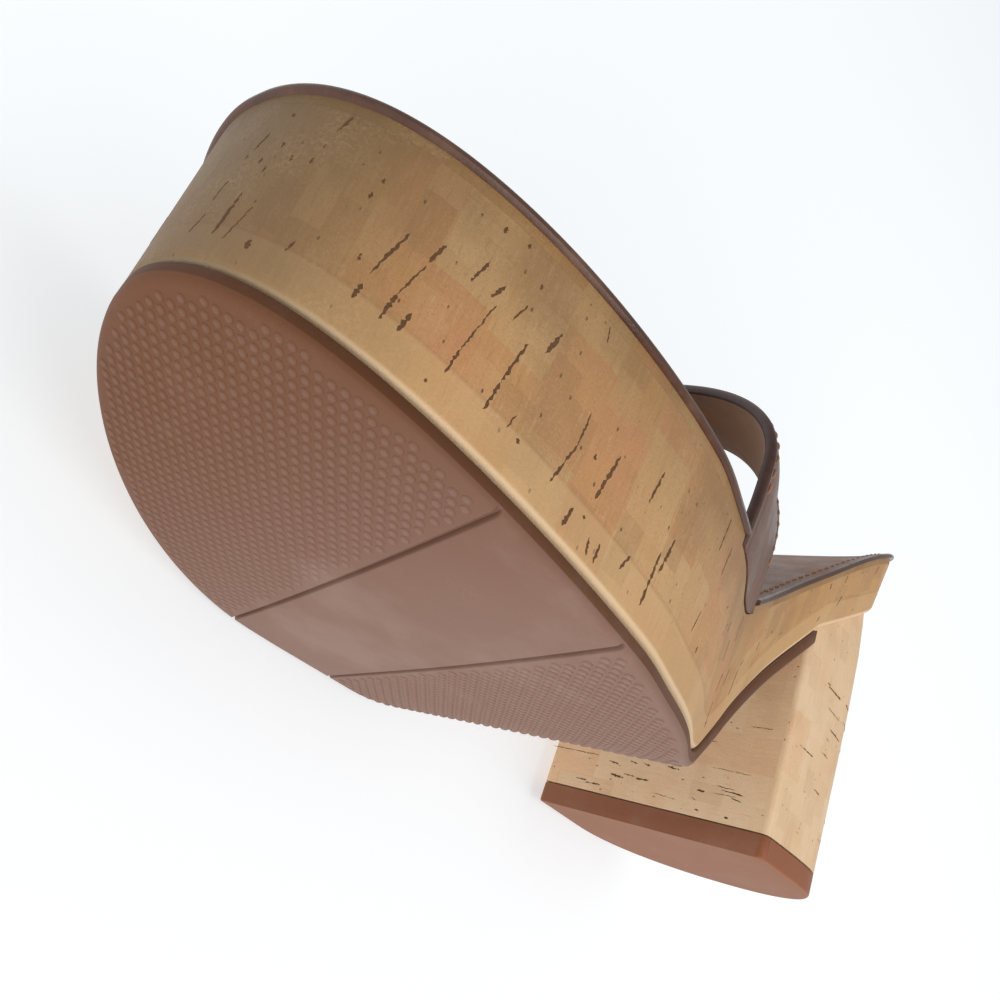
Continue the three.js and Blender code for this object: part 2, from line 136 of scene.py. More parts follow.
@dataclass
class ShoeFrame:
    """Takes points from the shoe's frame, in millimetres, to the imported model's, in metres."""

    record: dict
    forefoot_spot: Triple = (-13.0, 0.0, 0.0)
    heel_spot: Triple = (-112.0, 1.7, 0.0)
    origin: Array = field(init=False)
    turn: Array = field(init=False)

    def __post_init__(self) -> None:
        """Works out the turn and the place of the shoe's origin from the record's two mounts."""
        mounts = {mount["name"]: mount for mount in self.record["mounts"]}
        forefoot, heel = (np.array(mounts[name]["pos_m"]) for name in ("forefoot_tread", "heel_tread"))
        up = -np.array(mounts["forefoot_tread"]["axis"])
        up /= np.linalg.norm(up)
        run = forefoot - heel
        run -= up * run.dot(up)
        run /= np.linalg.norm(run)
        across = np.cross(up, run)
        spots = np.array(self.forefoot_spot) - np.array(self.heel_spot)
        cosine, sine = spots[:2] / np.linalg.norm(spots[:2])
        self.turn = np.column_stack([cosine * run - sine * across, sine * run + cosine * across, up])
        self.origin = forefoot - self.turn @ np.array(self.forefoot_spot) / MM_PER_M

    def place(self, points: Array) -> Array:
        """Points of the shoe's frame in the model's frame."""
        return np.asarray(points, float) @ self.turn.T / MM_PER_M + self.origin

    def rest(self, points: Array) -> Array:
        """Points in the model's frame, pressed flat where they meet the floor."""
        placed = self.place(points)
        placed[..., 2] = np.maximum(placed[..., 2], 0.0)
        return placed


@dataclass
class Outline:
    """One side of a closed outline, from the back of the seat to the tip of the toe."""

    point: Array
    out: Array
    run: Array

    def at(self, index: Array, unit_out: bool = True) -> "Outline":
        """The outline read off between its stations.

        Args:
            index: places counted in stations.
            unit_out: whether the directions are brought to length one.

        Returns:
            The outline with a station at each place.
        """
        steps = np.arange(len(self.run))
        out = sampled(self.out, steps, index)
        out = unit(out) if unit_out else out
        return Outline(sampled(self.point, steps, index), out, np.interp(index, steps, self.run))

    def at_run(self, run: Array, unit_out: bool = True) -> "Outline":
        """The outline read off at lengths along it, in millimetres."""
        return self.at(np.interp(run, self.run, np.arange(len(self.run))), unit_out)


# A ring of points along one side, made from that side's outline.
Level = Callable[[Side, Outline], Array]


@dataclass
class SoleShape:
    """The sandal's outline and heights, from its driving dimensions in millimetres."""

    ball_width: float = 96.4
    toe_length: float = 76.3
    heel_length: float = 138.5
    platform_height: float = 35.0
    heel_height: float = 100.0
    toe_spring: float = 18.0
    seat_width: float = 65.5
    toe_apex: float = 6.2
    seat_centre: float = 1.7
    ball_line: float = 12.0
    spring_start: float = -3.6
    outer_toe_roundness: float = 1.8
    inner_toe_roundness: float = 1.95
    seat_roundness: float = 2.2
    sole_thickness: float = 2.6
    footbed_thickness: float = 3.0
    rim_overhang: float = 0.9
    lean_outer: float = 2.0
    lean_inner: float = 2.3
    lean_tip: float = 0.3
    lean_ease: float = 0.01
    clearance: float = 0.3
    arch_start: float = -22.0
    arch_radius: float = 45.0
    arch_slope: float = math.radians(48)
    seat_layer: float = 7.0
    foot_rise_start: float = -25.0
    seat_dish: float = 1.3
    ball_dish: float = 0.9
    arch_lift: float = 3.0
    breast_setback: float = 88.3
    side_steps: int = 230
    waist_along: tuple[float, ...] = (-0.808, -0.64, -0.5, -0.36, -0.225, -0.11, 0.0, 1.0)
    waist_outer: tuple[float, ...] = (0.3221, 0.317, 0.33, 0.366, 0.4, 0.42, 0.44, 0.4605)
    waist_inner: tuple[float, ...] = (0.3573, 0.343, 0.318, 0.338, 0.413, 0.482, 0.522, 0.5395)

    def half_width(self, side: Side, x: Array | float) -> Array:
        """Signed half width of the outsole at x, between the seat and the ball line.

        Args:
            side: which side.
            x: places along the shoe.

        Returns:
            The signed half width at each place.
        """
        share = self.waist_outer if side is Side.OUTER else self.waist_inner
        along = np.array(self.waist_along)
        place = np.where(along > 0, along * self.ball_line, along * self.heel_length)
        value = np.array(share)
        slope = np.zeros_like(value)
        slope[1:-1] = (value[2:] - value[:-2]) / (place[2:] - place[:-2])
        x = np.clip(np.asarray(x, float), place[0], place[-1])
        i = np.clip(np.searchsorted(place, x, side="right") - 1, 0, len(place) - 2)
        span = place[i + 1] - place[i]
        t = (x - place[i]) / span
        rise = t * t * (3 - 2 * t)
        bend = t * (1 - t) ** 2 * slope[i] + t * t * (t - 1) * slope[i + 1]
        return side.value * self.ball_width * (mix(value[i], value[i + 1], rise) + span * bend)

    def side(self, side: Side) -> Outline:
        """The outline of one side in even steps, with outward directions.

        Args:
            side: which side.

        Returns:
            The outline of that side.
        """
        share = np.linspace(0, 1, 400)
        sine, cosine = np.sin(share * np.pi / 2), np.cos(share * np.pi / 2)
        seat_x = self.waist_along[0] * self.heel_length
        power = 2 / self.seat_roundness
        seat = np.column_stack([
            seat_x - (self.heel_length + seat_x) * sine**power,
            self.seat_centre + side.value * self.seat_width / 2 * np.abs(cosine) ** power,
        ])[::-1]
        waist_x = np.linspace(seat_x, self.ball_line, 400)[1:-1]
        waist = np.column_stack([waist_x, self.half_width(side, waist_x)])
        roundness = self.outer_toe_roundness if side is Side.OUTER else self.inner_toe_roundness
        power = 2 / roundness
        ball_y = float(self.half_width(side, self.ball_line))
        toe = np.column_stack([
            self.ball_line + (self.toe_length - self.ball_line) * sine**power,
            self.toe_apex + (ball_y - self.toe_apex) * np.abs(cosine) ** power,
        ])
        line = np.vstack([seat, waist, toe])
        steps = run_of(line)
        run = np.linspace(0, steps[-1], self.side_steps + 1)
        point = sampled(line, steps, run)
        tangent = np.gradient(point, axis=0)
        tangent /= np.linalg.norm(tangent, axis=1)[:, None]
        out = side.value * np.column_stack([-tangent[:, 1], tangent[:, 0]])
        out[0], out[-1] = (-1, 0), (1, 0)
        return Outline(point, out, run)

    def lean(self, side: Side, out: Array) -> Array:
        """How far the cork wall leans out on its way up, for outward directions.

        Args:
            side: which side.
            out: outward directions.

        Returns:
            Millimetres, for each direction.
        """
        sideways = np.abs(out[:, 1])
        if side is Side.OUTER:
            start, end = self.lean_ease**0.25, (1 + self.lean_ease) ** 0.25
            share = ((sideways**2 + self.lean_ease) ** 0.25 - start) / (end - start)
            return mix(self.lean_tip, self.lean_outer, share)
        return mix(self.lean_tip, self.lean_inner, sideways**2)

    def spring(self, x: Array) -> Array:
        """Rise of the outsole towards the tip of the toe."""
        share = np.maximum(0, x - self.spring_start) / (self.toe_length - self.spring_start)
        return self.toe_spring * share**2

    def under(self, x: Array) -> Array:
        """Height of the tread: flat spot, toe spring, and the arc and straight rise of the arch.

        Args:
            x: places along the shoe.

        Returns:
            The height at each place.
        """
        back = self.arch_start - np.asarray(x, float)
        arc_length = self.arch_radius * math.sin(self.arch_slope)
        in_arc = np.clip(back, 0, arc_length)
        arc = self.arch_radius - np.sqrt(self.arch_radius**2 - in_arc**2)
        straight = np.maximum(0, back - arc_length) * math.tan(self.arch_slope)
        return np.where(back <= 0, self.spring(x), arc + straight)

    def sole_upright(self, x: Array) -> Array:
        """Thickness of the outsole measured straight up."""
        back = np.clip(self.arch_start - x, 0, self.arch_radius * math.sin(self.arch_slope))
        return self.sole_thickness / np.sqrt(1 - (back / self.arch_radius) ** 2)

    def foot(self, x: Array) -> Array:
        """Top of the footbed at its rim."""
        rise = 1 - smooth(x, -self.heel_length, self.foot_rise_start)
        return self.platform_height + self.spring(x) + (self.heel_height - self.platform_height) * rise

    def cork_top(self, x: Array) -> Array:
        """Top of the cork, under the footbed."""
        return self.foot(x) - self.footbed_thickness - self.clearance

    def cork_under(self, x: Array) -> Array:
        """Underside of the cork: on the outsole, and a straight line over the heel.

        Args:
            x: places along the shoe.

        Returns:
            The height at each place.
        """
        front = np.maximum(x, -self.breast_setback)
        on_sole = self.under(front) + self.sole_upright(front) + self.clearance
        at_back = self.heel_height - self.footbed_thickness - self.seat_layer
        return mix(on_sole, at_back, (front - x) / (self.heel_length - self.breast_setback))

    def dish(self, x: Array, across: Array) -> Array:
        """How deep the footbed dips or rises inside its rim.

        Args:
            x: places along the shoe.
            across: shares of the width, from the outer side.

        Returns:
            The rise at each point, less than nothing where it dips.
        """
        bowl = 1 - (2 * across - 1) ** 4
        seat = self.seat_dish * smooth(-x, self.breast_setback * 0.9, self.breast_setback * 1.2)
        ball = self.ball_dish * np.exp(-((x / self.ball_line / 2.5) ** 2))
        toward_inner = np.sin(np.pi * np.clip(across * 1.25 - 0.25, 0, 1))
        arch = self.arch_lift * toward_inner * np.exp(-(((x + self.breast_setback * 0.7) / 22) ** 2))
        return arch - bowl * (seat + ball)

    def rim(self, side: Side, x: Array) -> Array:
        """Where the footbed's rim runs across, by x."""
        lean = self.lean_outer if side is Side.OUTER else self.lean_inner
        return self.half_width(side, x) + side.value * (lean + self.rim_overhang)


@dataclass
class Patch:
    """A grid of points, closed round its columns, with surface coordinates and a finish for each strip."""

    points: Array
    uv: Array
    finish: Array | int = 0


class Workshop:
    """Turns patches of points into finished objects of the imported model's frame."""

    def __init__(self, frame: ShoeFrame) -> None:
        """Keeps the frame that every piece is placed in."""
        self.frame = frame

    def mesh(
        self,
        name: str,
        patches: Sequence[Patch],
        materials: Sequence[Material],
        caps: bool = False,
        merge: float = 0.004,
        sharp: float = 40.0,
    ) -> Piece:
        """Builds one object from patches.

        Args:
            name: the piece's name.
            patches: grids of rows by columns, closed round their columns.
            materials: finishes that the patches' strips count into.
            caps: whether a first and last row that doesn't shrink to a line is filled.
            merge: distance in millimetres below which points are one.
            sharp: angle in degrees from which an edge isn't shaded smooth.

        Returns:
            The object, riding on the body.
        """
        verts, faces, uvs, finishes = [], [], [], []
        base = 0
        for patch in patches:
            rows, columns = patch.points.shape[:2]
            verts.append(patch.points.reshape(-1, 3))
            index = np.arange(rows * columns).reshape(rows, columns)
            right = np.roll(index, -1, axis=1)
            quads = np.stack([index[:-1], right[:-1], right[1:], index[1:]], axis=-1)
            kind = np.broadcast_to(patch.finish, (columns,))
            finishes.extend(np.broadcast_to(kind, quads.shape[:2]).ravel().tolist())
            flat = quads.reshape(-1, 4)
            faces.extend((flat + base).tolist())
            uvs.append(patch.uv.reshape(-1, 2)[flat].reshape(-1, 2))
            if caps:
                for row, turn in ((index[0], 1), (index[-1], -1)):
                    spread = np.ptp(verts[-1][row], axis=0)
                    if np.sort(spread)[-2] > merge:
                        loop = row[::-turn]
                        faces.append((loop + base).tolist())
                        uvs.append(verts[-1][loop][:, [2, 1]])
                        finishes.append(int(kind[0]))
            base += rows * columns
        mesh = bpy.data.meshes.new(name)
        mesh.from_pydata(self.frame.rest(np.vstack(verts)).tolist(), [], faces)
        layer = mesh.uv_layers.new(name="skin")
        layer.data.foreach_set("uv", np.vstack(uvs).astype(np.float32).ravel())
        mesh.polygons.foreach_set("material_index", np.array(finishes, np.int32))
        work = bmesh.new()
        work.from_mesh(mesh)
        bmesh.ops.remove_doubles(work, verts=work.verts, dist=merge / MM_PER_M)
        bmesh.ops.dissolve_degenerate(work, edges=work.edges, dist=merge / MM_PER_M / 2)
        bmesh.ops.recalc_face_normals(work, faces=work.faces)
        for edge in work.edges:
            edge.smooth = edge.calc_face_angle(0.0) < math.radians(sharp)
        for face in work.faces:
            face.smooth = True
        work.to_mesh(mesh)
        work.free()
        return self.adopt(name, mesh, materials)

    def adopt(
        self, name: str, mesh: bpy.types.Mesh, materials: Sequence[Material]
    ) -> Piece:
        """Links a mesh as a riding object with its materials.

        Args:
            name: the piece's name.
            mesh: its mesh, in metres.
            materials: its finishes.

        Returns:
            The object, riding on the body.
        """
        for material in materials:
            mesh.materials.append(material)
        piece = bpy.data.objects.new(name, mesh)
        bpy.context.scene.collection.objects.link(piece)
        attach(piece, "root")
        LOG.info("%s: %d faces", name, len(mesh.polygons))
        return piece


@dataclass
class Layered:
    """A layer of the sole, lofted from sections that run across the shoe."""

    shape: SoleShape
    columns: int = field(default=26, kw_only=True)
    lines: dict[Side, Outline] = field(init=False)

    def __post_init__(self) -> None:
        """Works out the two side lines."""
        self.lines = {side: self.shape.side(side) for side in Side}

    def loft(
        self,
        lines: dict[Side, Outline],
        levels: Sequence[Level],
        floor: Callable[[Array, Array], Array],
        roof: Callable[[Array, Array], Array],
        wall_finish: int | Sequence[int] = 0,
        floor_finish: int = 0,
        roof_finish: int = 0,
    ) -> Patch:
        """Lofts a layer.

        Args:
            lines: the two sides' stations.
            levels: rings of points from the lower edge to the upper edge.
            floor: height of the underside at x and a share across.
            roof: height of the top at x and a share across.
            wall_finish: finish of the walls, or of each of their strips from the lowest up.
            floor_finish: finish of the underside.
            roof_finish: finish of the top.

        Returns:
            The closed patch, with the walls' run and height as surface coordinates.
        """
        rings = {side: [level(side, lines[side]) for level in levels] for side in Side}
        share = np.linspace(0, 1, self.columns + 1)[1:-1]

        def filled(ring: int, height: Callable[[Array, Array], Array], way: Array) -> Array:
            """Points across from one side's ring to the other's."""
            outer, inner = rings[Side.OUTER][ring], rings[Side.INNER][ring]
            grid = outer[:, None, :] + (inner - outer)[:, None, :] * way[None, :, None]
            grid[..., 2] = height(grid[..., 0], np.broadcast_to(way, grid.shape[:2]))
            return grid

        inner_wall = np.stack(rings[Side.INNER], axis=1)
        outer_wall = np.stack(rings[Side.OUTER][::-1], axis=1)
        under = filled(0, floor, share)
        over = filled(-1, roof, share[::-1])
        points = np.concatenate([under, inner_wall, over, outer_wall], axis=1)
        run = np.broadcast_to(lines[Side.INNER].run[:, None], points.shape[:2]).copy()
        foot = points[:, under.shape[1]][:, None, 2]
        uv = np.stack([run, points[..., 2] - foot], axis=-1)
        uv[:, :under.shape[1], 1] = under[..., 1]
        uv[:, under.shape[1] + inner_wall.shape[1]:-outer_wall.shape[1], 1] = over[..., 1]
        uv[:, -outer_wall.shape[1]:, 0] = -lines[Side.OUTER].run[:, None]
        finish = np.zeros(points.shape[1], int)
        bands = np.broadcast_to(wall_finish, (len(levels) - 1,))
        finish[under.shape[1]:under.shape[1] + len(bands)] = bands
        finish[-len(bands) - 1:-1] = bands[::-1]
        finish[:under.shape[1]] = floor_finish
        finish[-1] = floor_finish
        start = under.shape[1] + inner_wall.shape[1] - 1
        finish[start:start + over.shape[1] + 1] = roof_finish
        return Patch(points, uv, finish)

    def ring(self, grow: float, height: Callable[[Array], Array], lift: float) -> Callable:
        """A level that stands outside the outline by grow and over height by lift.

        Args:
            grow: millimetres outside the outline.
            height: height at places along the shoe.
            lift: millimetres over that height.

        Returns:
            The level.
        """
        def level(side: Side, line: Outline) -> Array:
            """Points of the level along one side."""
            flat = line.point + line.out * grow
            return np.column_stack([flat, height(flat[:, 0]) + lift])

        return level


@dataclass
class Outsole(Layered):
    """Moulded rubber sheet with two slanted grooves and a field of round nubs."""

    edge_round: float = 1.0
    groove_slant: float = math.radians(19.3)
    groove_rear: float = -1.8
    plain_band: float = 25.3
    groove_width: float = 1.0
    groove_depth: float = 0.9
    station_step: float = 0.75
    nub_pitch: float = 1.9
    nub_turn: float = math.radians(39.5)
    nub_radius: float = 0.86
    nub_height: float = 0.2
    nub_rear_rise: float = 1.5
    nub_border: float = 0.9
    nub_rear_limit: float = -41.0
    nub_segments: int = 10
    nub_rings: tuple[tuple[float, float], ...] = ((1.0, -0.2), (0.92, 0.14), (0.72, 0.56), (0.4, 0.88))
    nub_fade_length: float = 7.0
    nub_faded_height: float = 0.35
    columns: int = field(default=58, kw_only=True)

    def grooves(self) -> tuple[float, float]:
        """Places of the two grooves' middles, square from the ball's centre."""
        return self.groove_rear, self.groove_rear + self.plain_band

    def square(self, spot: Array) -> Array:
        """Places of points, measured square to the grooves."""
        return spot[:, 0] * math.cos(self.groove_slant) - spot[:, 1] * math.sin(self.groove_slant)

    def stations(self) -> tuple[dict[Side, Outline], Array]:
        """Stations that lie along the grooves, and turn square at the two ends of the sheet.

        Returns:
            The stations of both sides, and the grooves' depth at each.
        """
        shape = self.shape
        start = shape.clearance - shape.breast_setback
        end = shape.toe_length
        lean = math.cos(self.groove_slant)
        places = [np.arange(start, end, self.station_step), end - np.array([0.3, 0.15, 0.06, 0.015, 0.0])]
        half = self.groove_width / 2
        rims = half * np.array([-1.5, -1.15, -1, -0.85, -0.6, -0.3, 0, 0.3, 0.6, 0.85, 1, 1.15, 1.5])
        for groove in self.grooves():
            near = np.abs(places[0] - groove / lean) > half * 1.7
            places[0] = places[0][near]
            places.append((groove + rims) / lean)
        place = np.unique(np.concatenate(places))
        front, rear = (self.grooves()[1] + 3) / lean, (self.grooves()[0] - 3) / lean
        fade = smooth(place, front, end - 4) + smooth(-place, -rear, -start - 30)
        slope = math.tan(self.groove_slant) * (1 - fade)
        lines = {}
        for side in Side:
            line = self.lines[side]
            found = []
            for x, k in zip(place, slope):
                reach = np.maximum.accumulate(line.point[:, 0] - k * line.point[:, 1])
                found.append(np.interp(x, reach, np.arange(len(reach))))
            lines[side] = line.at(np.array(found))
        off = np.min([np.abs(place * lean - groove) for groove in self.grooves()], axis=0)
        depth = self.groove_depth * (1 - smooth(off, half * 0.55, half * 1.1))
        return lines, depth

    def sheet(self, shop: Workshop, materials: Sequence[Material]) -> Piece:
        """Builds the sheet, with its grooves and its darker side edge, dark partly from its edge paint and
        partly from painted shade.

        Args:
            shop: places the mesh.
            materials: the tread's finish and the edge's.

        Returns:
            The sheet.
        """
        shape = self.shape
        lines, depth = self.stations()
        upright = shape.sole_upright

        def floor(x: Array, _: Array, keep: float = 1.0) -> Array:
            """Height of the tread, with the grooves cut up into it."""
            return shape.under(x) + (depth[:, None] if x.ndim > 1 else depth) * keep

        levels = []
        for degrees in (0, 30, 60, 90):
            inset, lift = rounded(self.edge_round, degrees)
            keep = math.cos(math.radians(degrees))
            levels.append(self.ring(-inset, lambda x, keep=keep: floor(x, x, keep), lift))
        levels += [
            self.ring(0.0, lambda x: shape.under(x) + upright(x), -0.15),
            self.ring(-0.1, lambda x: shape.under(x) + upright(x), 0.0),
        ]
        # The upper strips of the side take the edge's finish: partly its edge paint, partly painted shade of
        # the recess under the cork.
        patch = self.loft(lines, levels, floor, lambda x, _: shape.under(x) + upright(x), (0, 0, 0, 1, 1))
        piece = shop.mesh("outsole_sheet", [patch], materials, caps=True, sharp=50)
        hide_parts("outsole")
        return piece

    def nub_places(self) -> Array:
        """Places of the nubs on a square lattice, inside the border and off the plain band.

        Returns:
            The middle of each nub.
        """
        shape = self.shape
        count = int(150 / self.nub_pitch)
        i, j = np.meshgrid(np.arange(-count, count), np.arange(-count, count))
        first = np.array([math.cos(self.nub_turn), math.sin(self.nub_turn)])
        second = np.array([-first[1], first[0]])
        spot = (i.ravel()[:, None] * first + j.ravel()[:, None] * second) * self.nub_pitch
        inset = self.nub_border + self.nub_radius
        keep = (spot[:, 0] > self.nub_rear_limit) & (spot[:, 0] < shape.toe_length)
        spot = spot[keep]
        outer, inner = (
            np.interp(spot[:, 0], self.lines[side].point[:, 0], self.lines[side].point[:, 1]) for side in Side
        )
        inside = (spot[:, 1] > outer) & (spot[:, 1] < inner)
        spot = spot[inside]
        edge = np.vstack([self.lines[side].point for side in Side])
        room = np.min(np.linalg.norm(spot[:, None, :] - edge[None], axis=2), axis=1)
        square = self.square(spot)
        rear, front = self.grooves()
        margin = self.groove_width / 2 + self.nub_radius + 0.35
        off_band = (square < rear - margin) | (square > front + margin)
        return spot[(room > inset) & off_band]

    def nub_height_at(self, spot: Array) -> Array:
        """Height of each nub: higher behind the plain band, and fading out at the rear limit."""
        fade = smooth(spot[:, 0], self.nub_rear_limit, self.nub_rear_limit + self.nub_fade_length)
        rise = np.where(self.square(spot) < self.grooves()[0], self.nub_rear_rise, 1.0)
        return self.nub_height * mix(self.nub_faded_height, rise, fade)

    def dome_faces(self, count: int) -> list[list[int]]:
        """Faces of every dome, by the numbers of its points from its foot to its tip.

        Args:
            count: how many domes there are.

        Returns:
            The walls' quads, then the tips' triangles and the closed feet.
        """
        per_ring, ring_count = self.nub_segments, len(self.nub_rings)
        segment = np.arange(per_ring)
        after = (segment + 1) % per_ring
        quads = [
            np.stack([low + segment, low + after, low + per_ring + after, low + per_ring + segment], 1)
            for low in range(0, (ring_count - 1) * per_ring, per_ring)
        ]
        top, tip = (ring_count - 1) * per_ring, ring_count * per_ring
        tips = np.stack([top + segment, top + after, np.full_like(segment, tip)], 1)
        base = (np.arange(count) * (tip + 1))[:, None, None]
        quad_faces = (np.concatenate(quads)[None] + base).reshape(-1, 4)
        tip_faces = (tips[None] + base).reshape(-1, 3)
        foot_faces = segment[::-1][None] + base[:, :, 0]
        return quad_faces.tolist() + tip_faces.tolist() + foot_faces.tolist()

    def nubs(self, shop: Workshop, material: Material) -> Piece:
        """Builds every nub of the tread as one joined mesh of low domes.

        Args:
            shop: places the mesh.
            material: the rubber, which reads each point's share of the crown for its painted highlight.

        Returns:
            The joined nubs.
        """
        spot = self.nub_places()
        height = self.nub_height_at(spot)
        under, step = self.shape.under, 0.05
        slope = (under(spot[:, 0] + step) - under(spot[:, 0] - step)) / (2 * step)
        ones, none = np.ones_like(slope), np.zeros_like(slope)
        length = np.sqrt(1 + slope**2)
        along = np.column_stack([ones, none, slope]) / length[:, None]
        down = np.column_stack([slope, none, -ones]) / length[:, None]
        centre = np.column_stack([spot, under(spot[:, 0])])
        angle = np.arange(self.nub_segments) * 2 * np.pi / self.nub_segments
        points, crown = [], []
        for reach, level in self.nub_rings:
            flat = np.cos(angle)[None, :, None] * along[:, None, :]
            flat = flat + np.sin(angle)[None, :, None] * np.array([0.0, 1.0, 0.0])
            lift = (height * level)[:, None, None] * down[:, None, :]
            points.append(centre[:, None, :] + flat * self.nub_radius * reach + lift)
            crown.append(np.full((len(spot), self.nub_segments), max(level, 0.0)))
        points.append(centre[:, None, :] + (height[:, None] * down)[:, None, :])
        crown.append(np.ones((len(spot), 1)))
        dome = np.concatenate(points, axis=1)
        mesh = bpy.data.meshes.new("tread_nubs")
        mesh.from_pydata(shop.frame.rest(dome.reshape(-1, 3)).tolist(), [], self.dome_faces(len(spot)))
        # Share of the crown at each point, which the rubber lightens as a painted highlight.
        mask = mesh.attributes.new("crown", "FLOAT", "POINT")
        mask.data.foreach_set("value", np.concatenate(crown, axis=1).ravel().astype(np.float32))
        mesh.shade_smooth()
        work = bmesh.new()
        work.from_mesh(mesh)
        bmesh.ops.recalc_face_normals(work, faces=work.faces)
        work.to_mesh(mesh)
        work.free()
        piece = shop.adopt("tread_nubs", mesh, [material])
        return piece


@dataclass
class Platform(Layered):
    """Cork-wrapped platform unit, with the streaks of its cork."""

    edge_round: float = 1.6

    def body(self, shop: Workshop, materials: Sequence[Material]) -> Piece:
        """Builds the platform with a rolled lower edge.

        Args:
            shop: places the mesh.
            materials: the cork.

        Returns:
            The platform.
        """
        shape = self.shape
        levels = []
        for degrees in (0, 22, 45, 67, 90):
            inset, lift = rounded(self.edge_round, degrees)
            levels.append(self.ring(-inset, shape.cork_under, lift))
        levels += [self.wall_level(share) for share in (0.06, 0.12, 0.25, 0.4, 0.55, 0.7, 0.85, 1.0)]
        patch = self.loft(
            self.lines, levels, lambda x, _: shape.cork_under(x), lambda x, _: shape.cork_top(x)
        )
        piece = shop.mesh("platform_cork", [patch], materials)
        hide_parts("platform")
        return piece

    def wall_level(self, share: float) -> Level:
        """A ring of the wall, at a share of its height over the rolled edge.

        Args:
            share: share of the wall's height.

        Returns:
            The level.
        """
        def level(side: Side, line: Outline) -> Array:
            """Points of the ring along one side."""
            return self.wall_point(side, line, share)

        return level

    def wall_point(self, side: Side, line: Outline, share: float | Array) -> Array:
        """Points of the wall at a share of its height over the rolled edge.

        Args:
            side: which side.
            line: the outline there.
            share: share of the height.

        Returns:
            A point for each station.
        """
        shape = self.shape
        flat = line.point + line.out * (shape.lean(side, line.out) * share)[:, None]
        low = shape.cork_under(flat[:, 0]) + self.edge_round
        return np.column_stack([flat, mix(low, shape.cork_top(flat[:, 0]), share)])

    def wall_at(self, side: Side, run: Array, share: Array) -> tuple[Array, Array]:
        """Points and outward directions of the wall where run and share say."""
        line = self.lines[side].at_run(run)
        return self.wall_point(side, line, share), np.column_stack([line.out, np.zeros(len(run))])


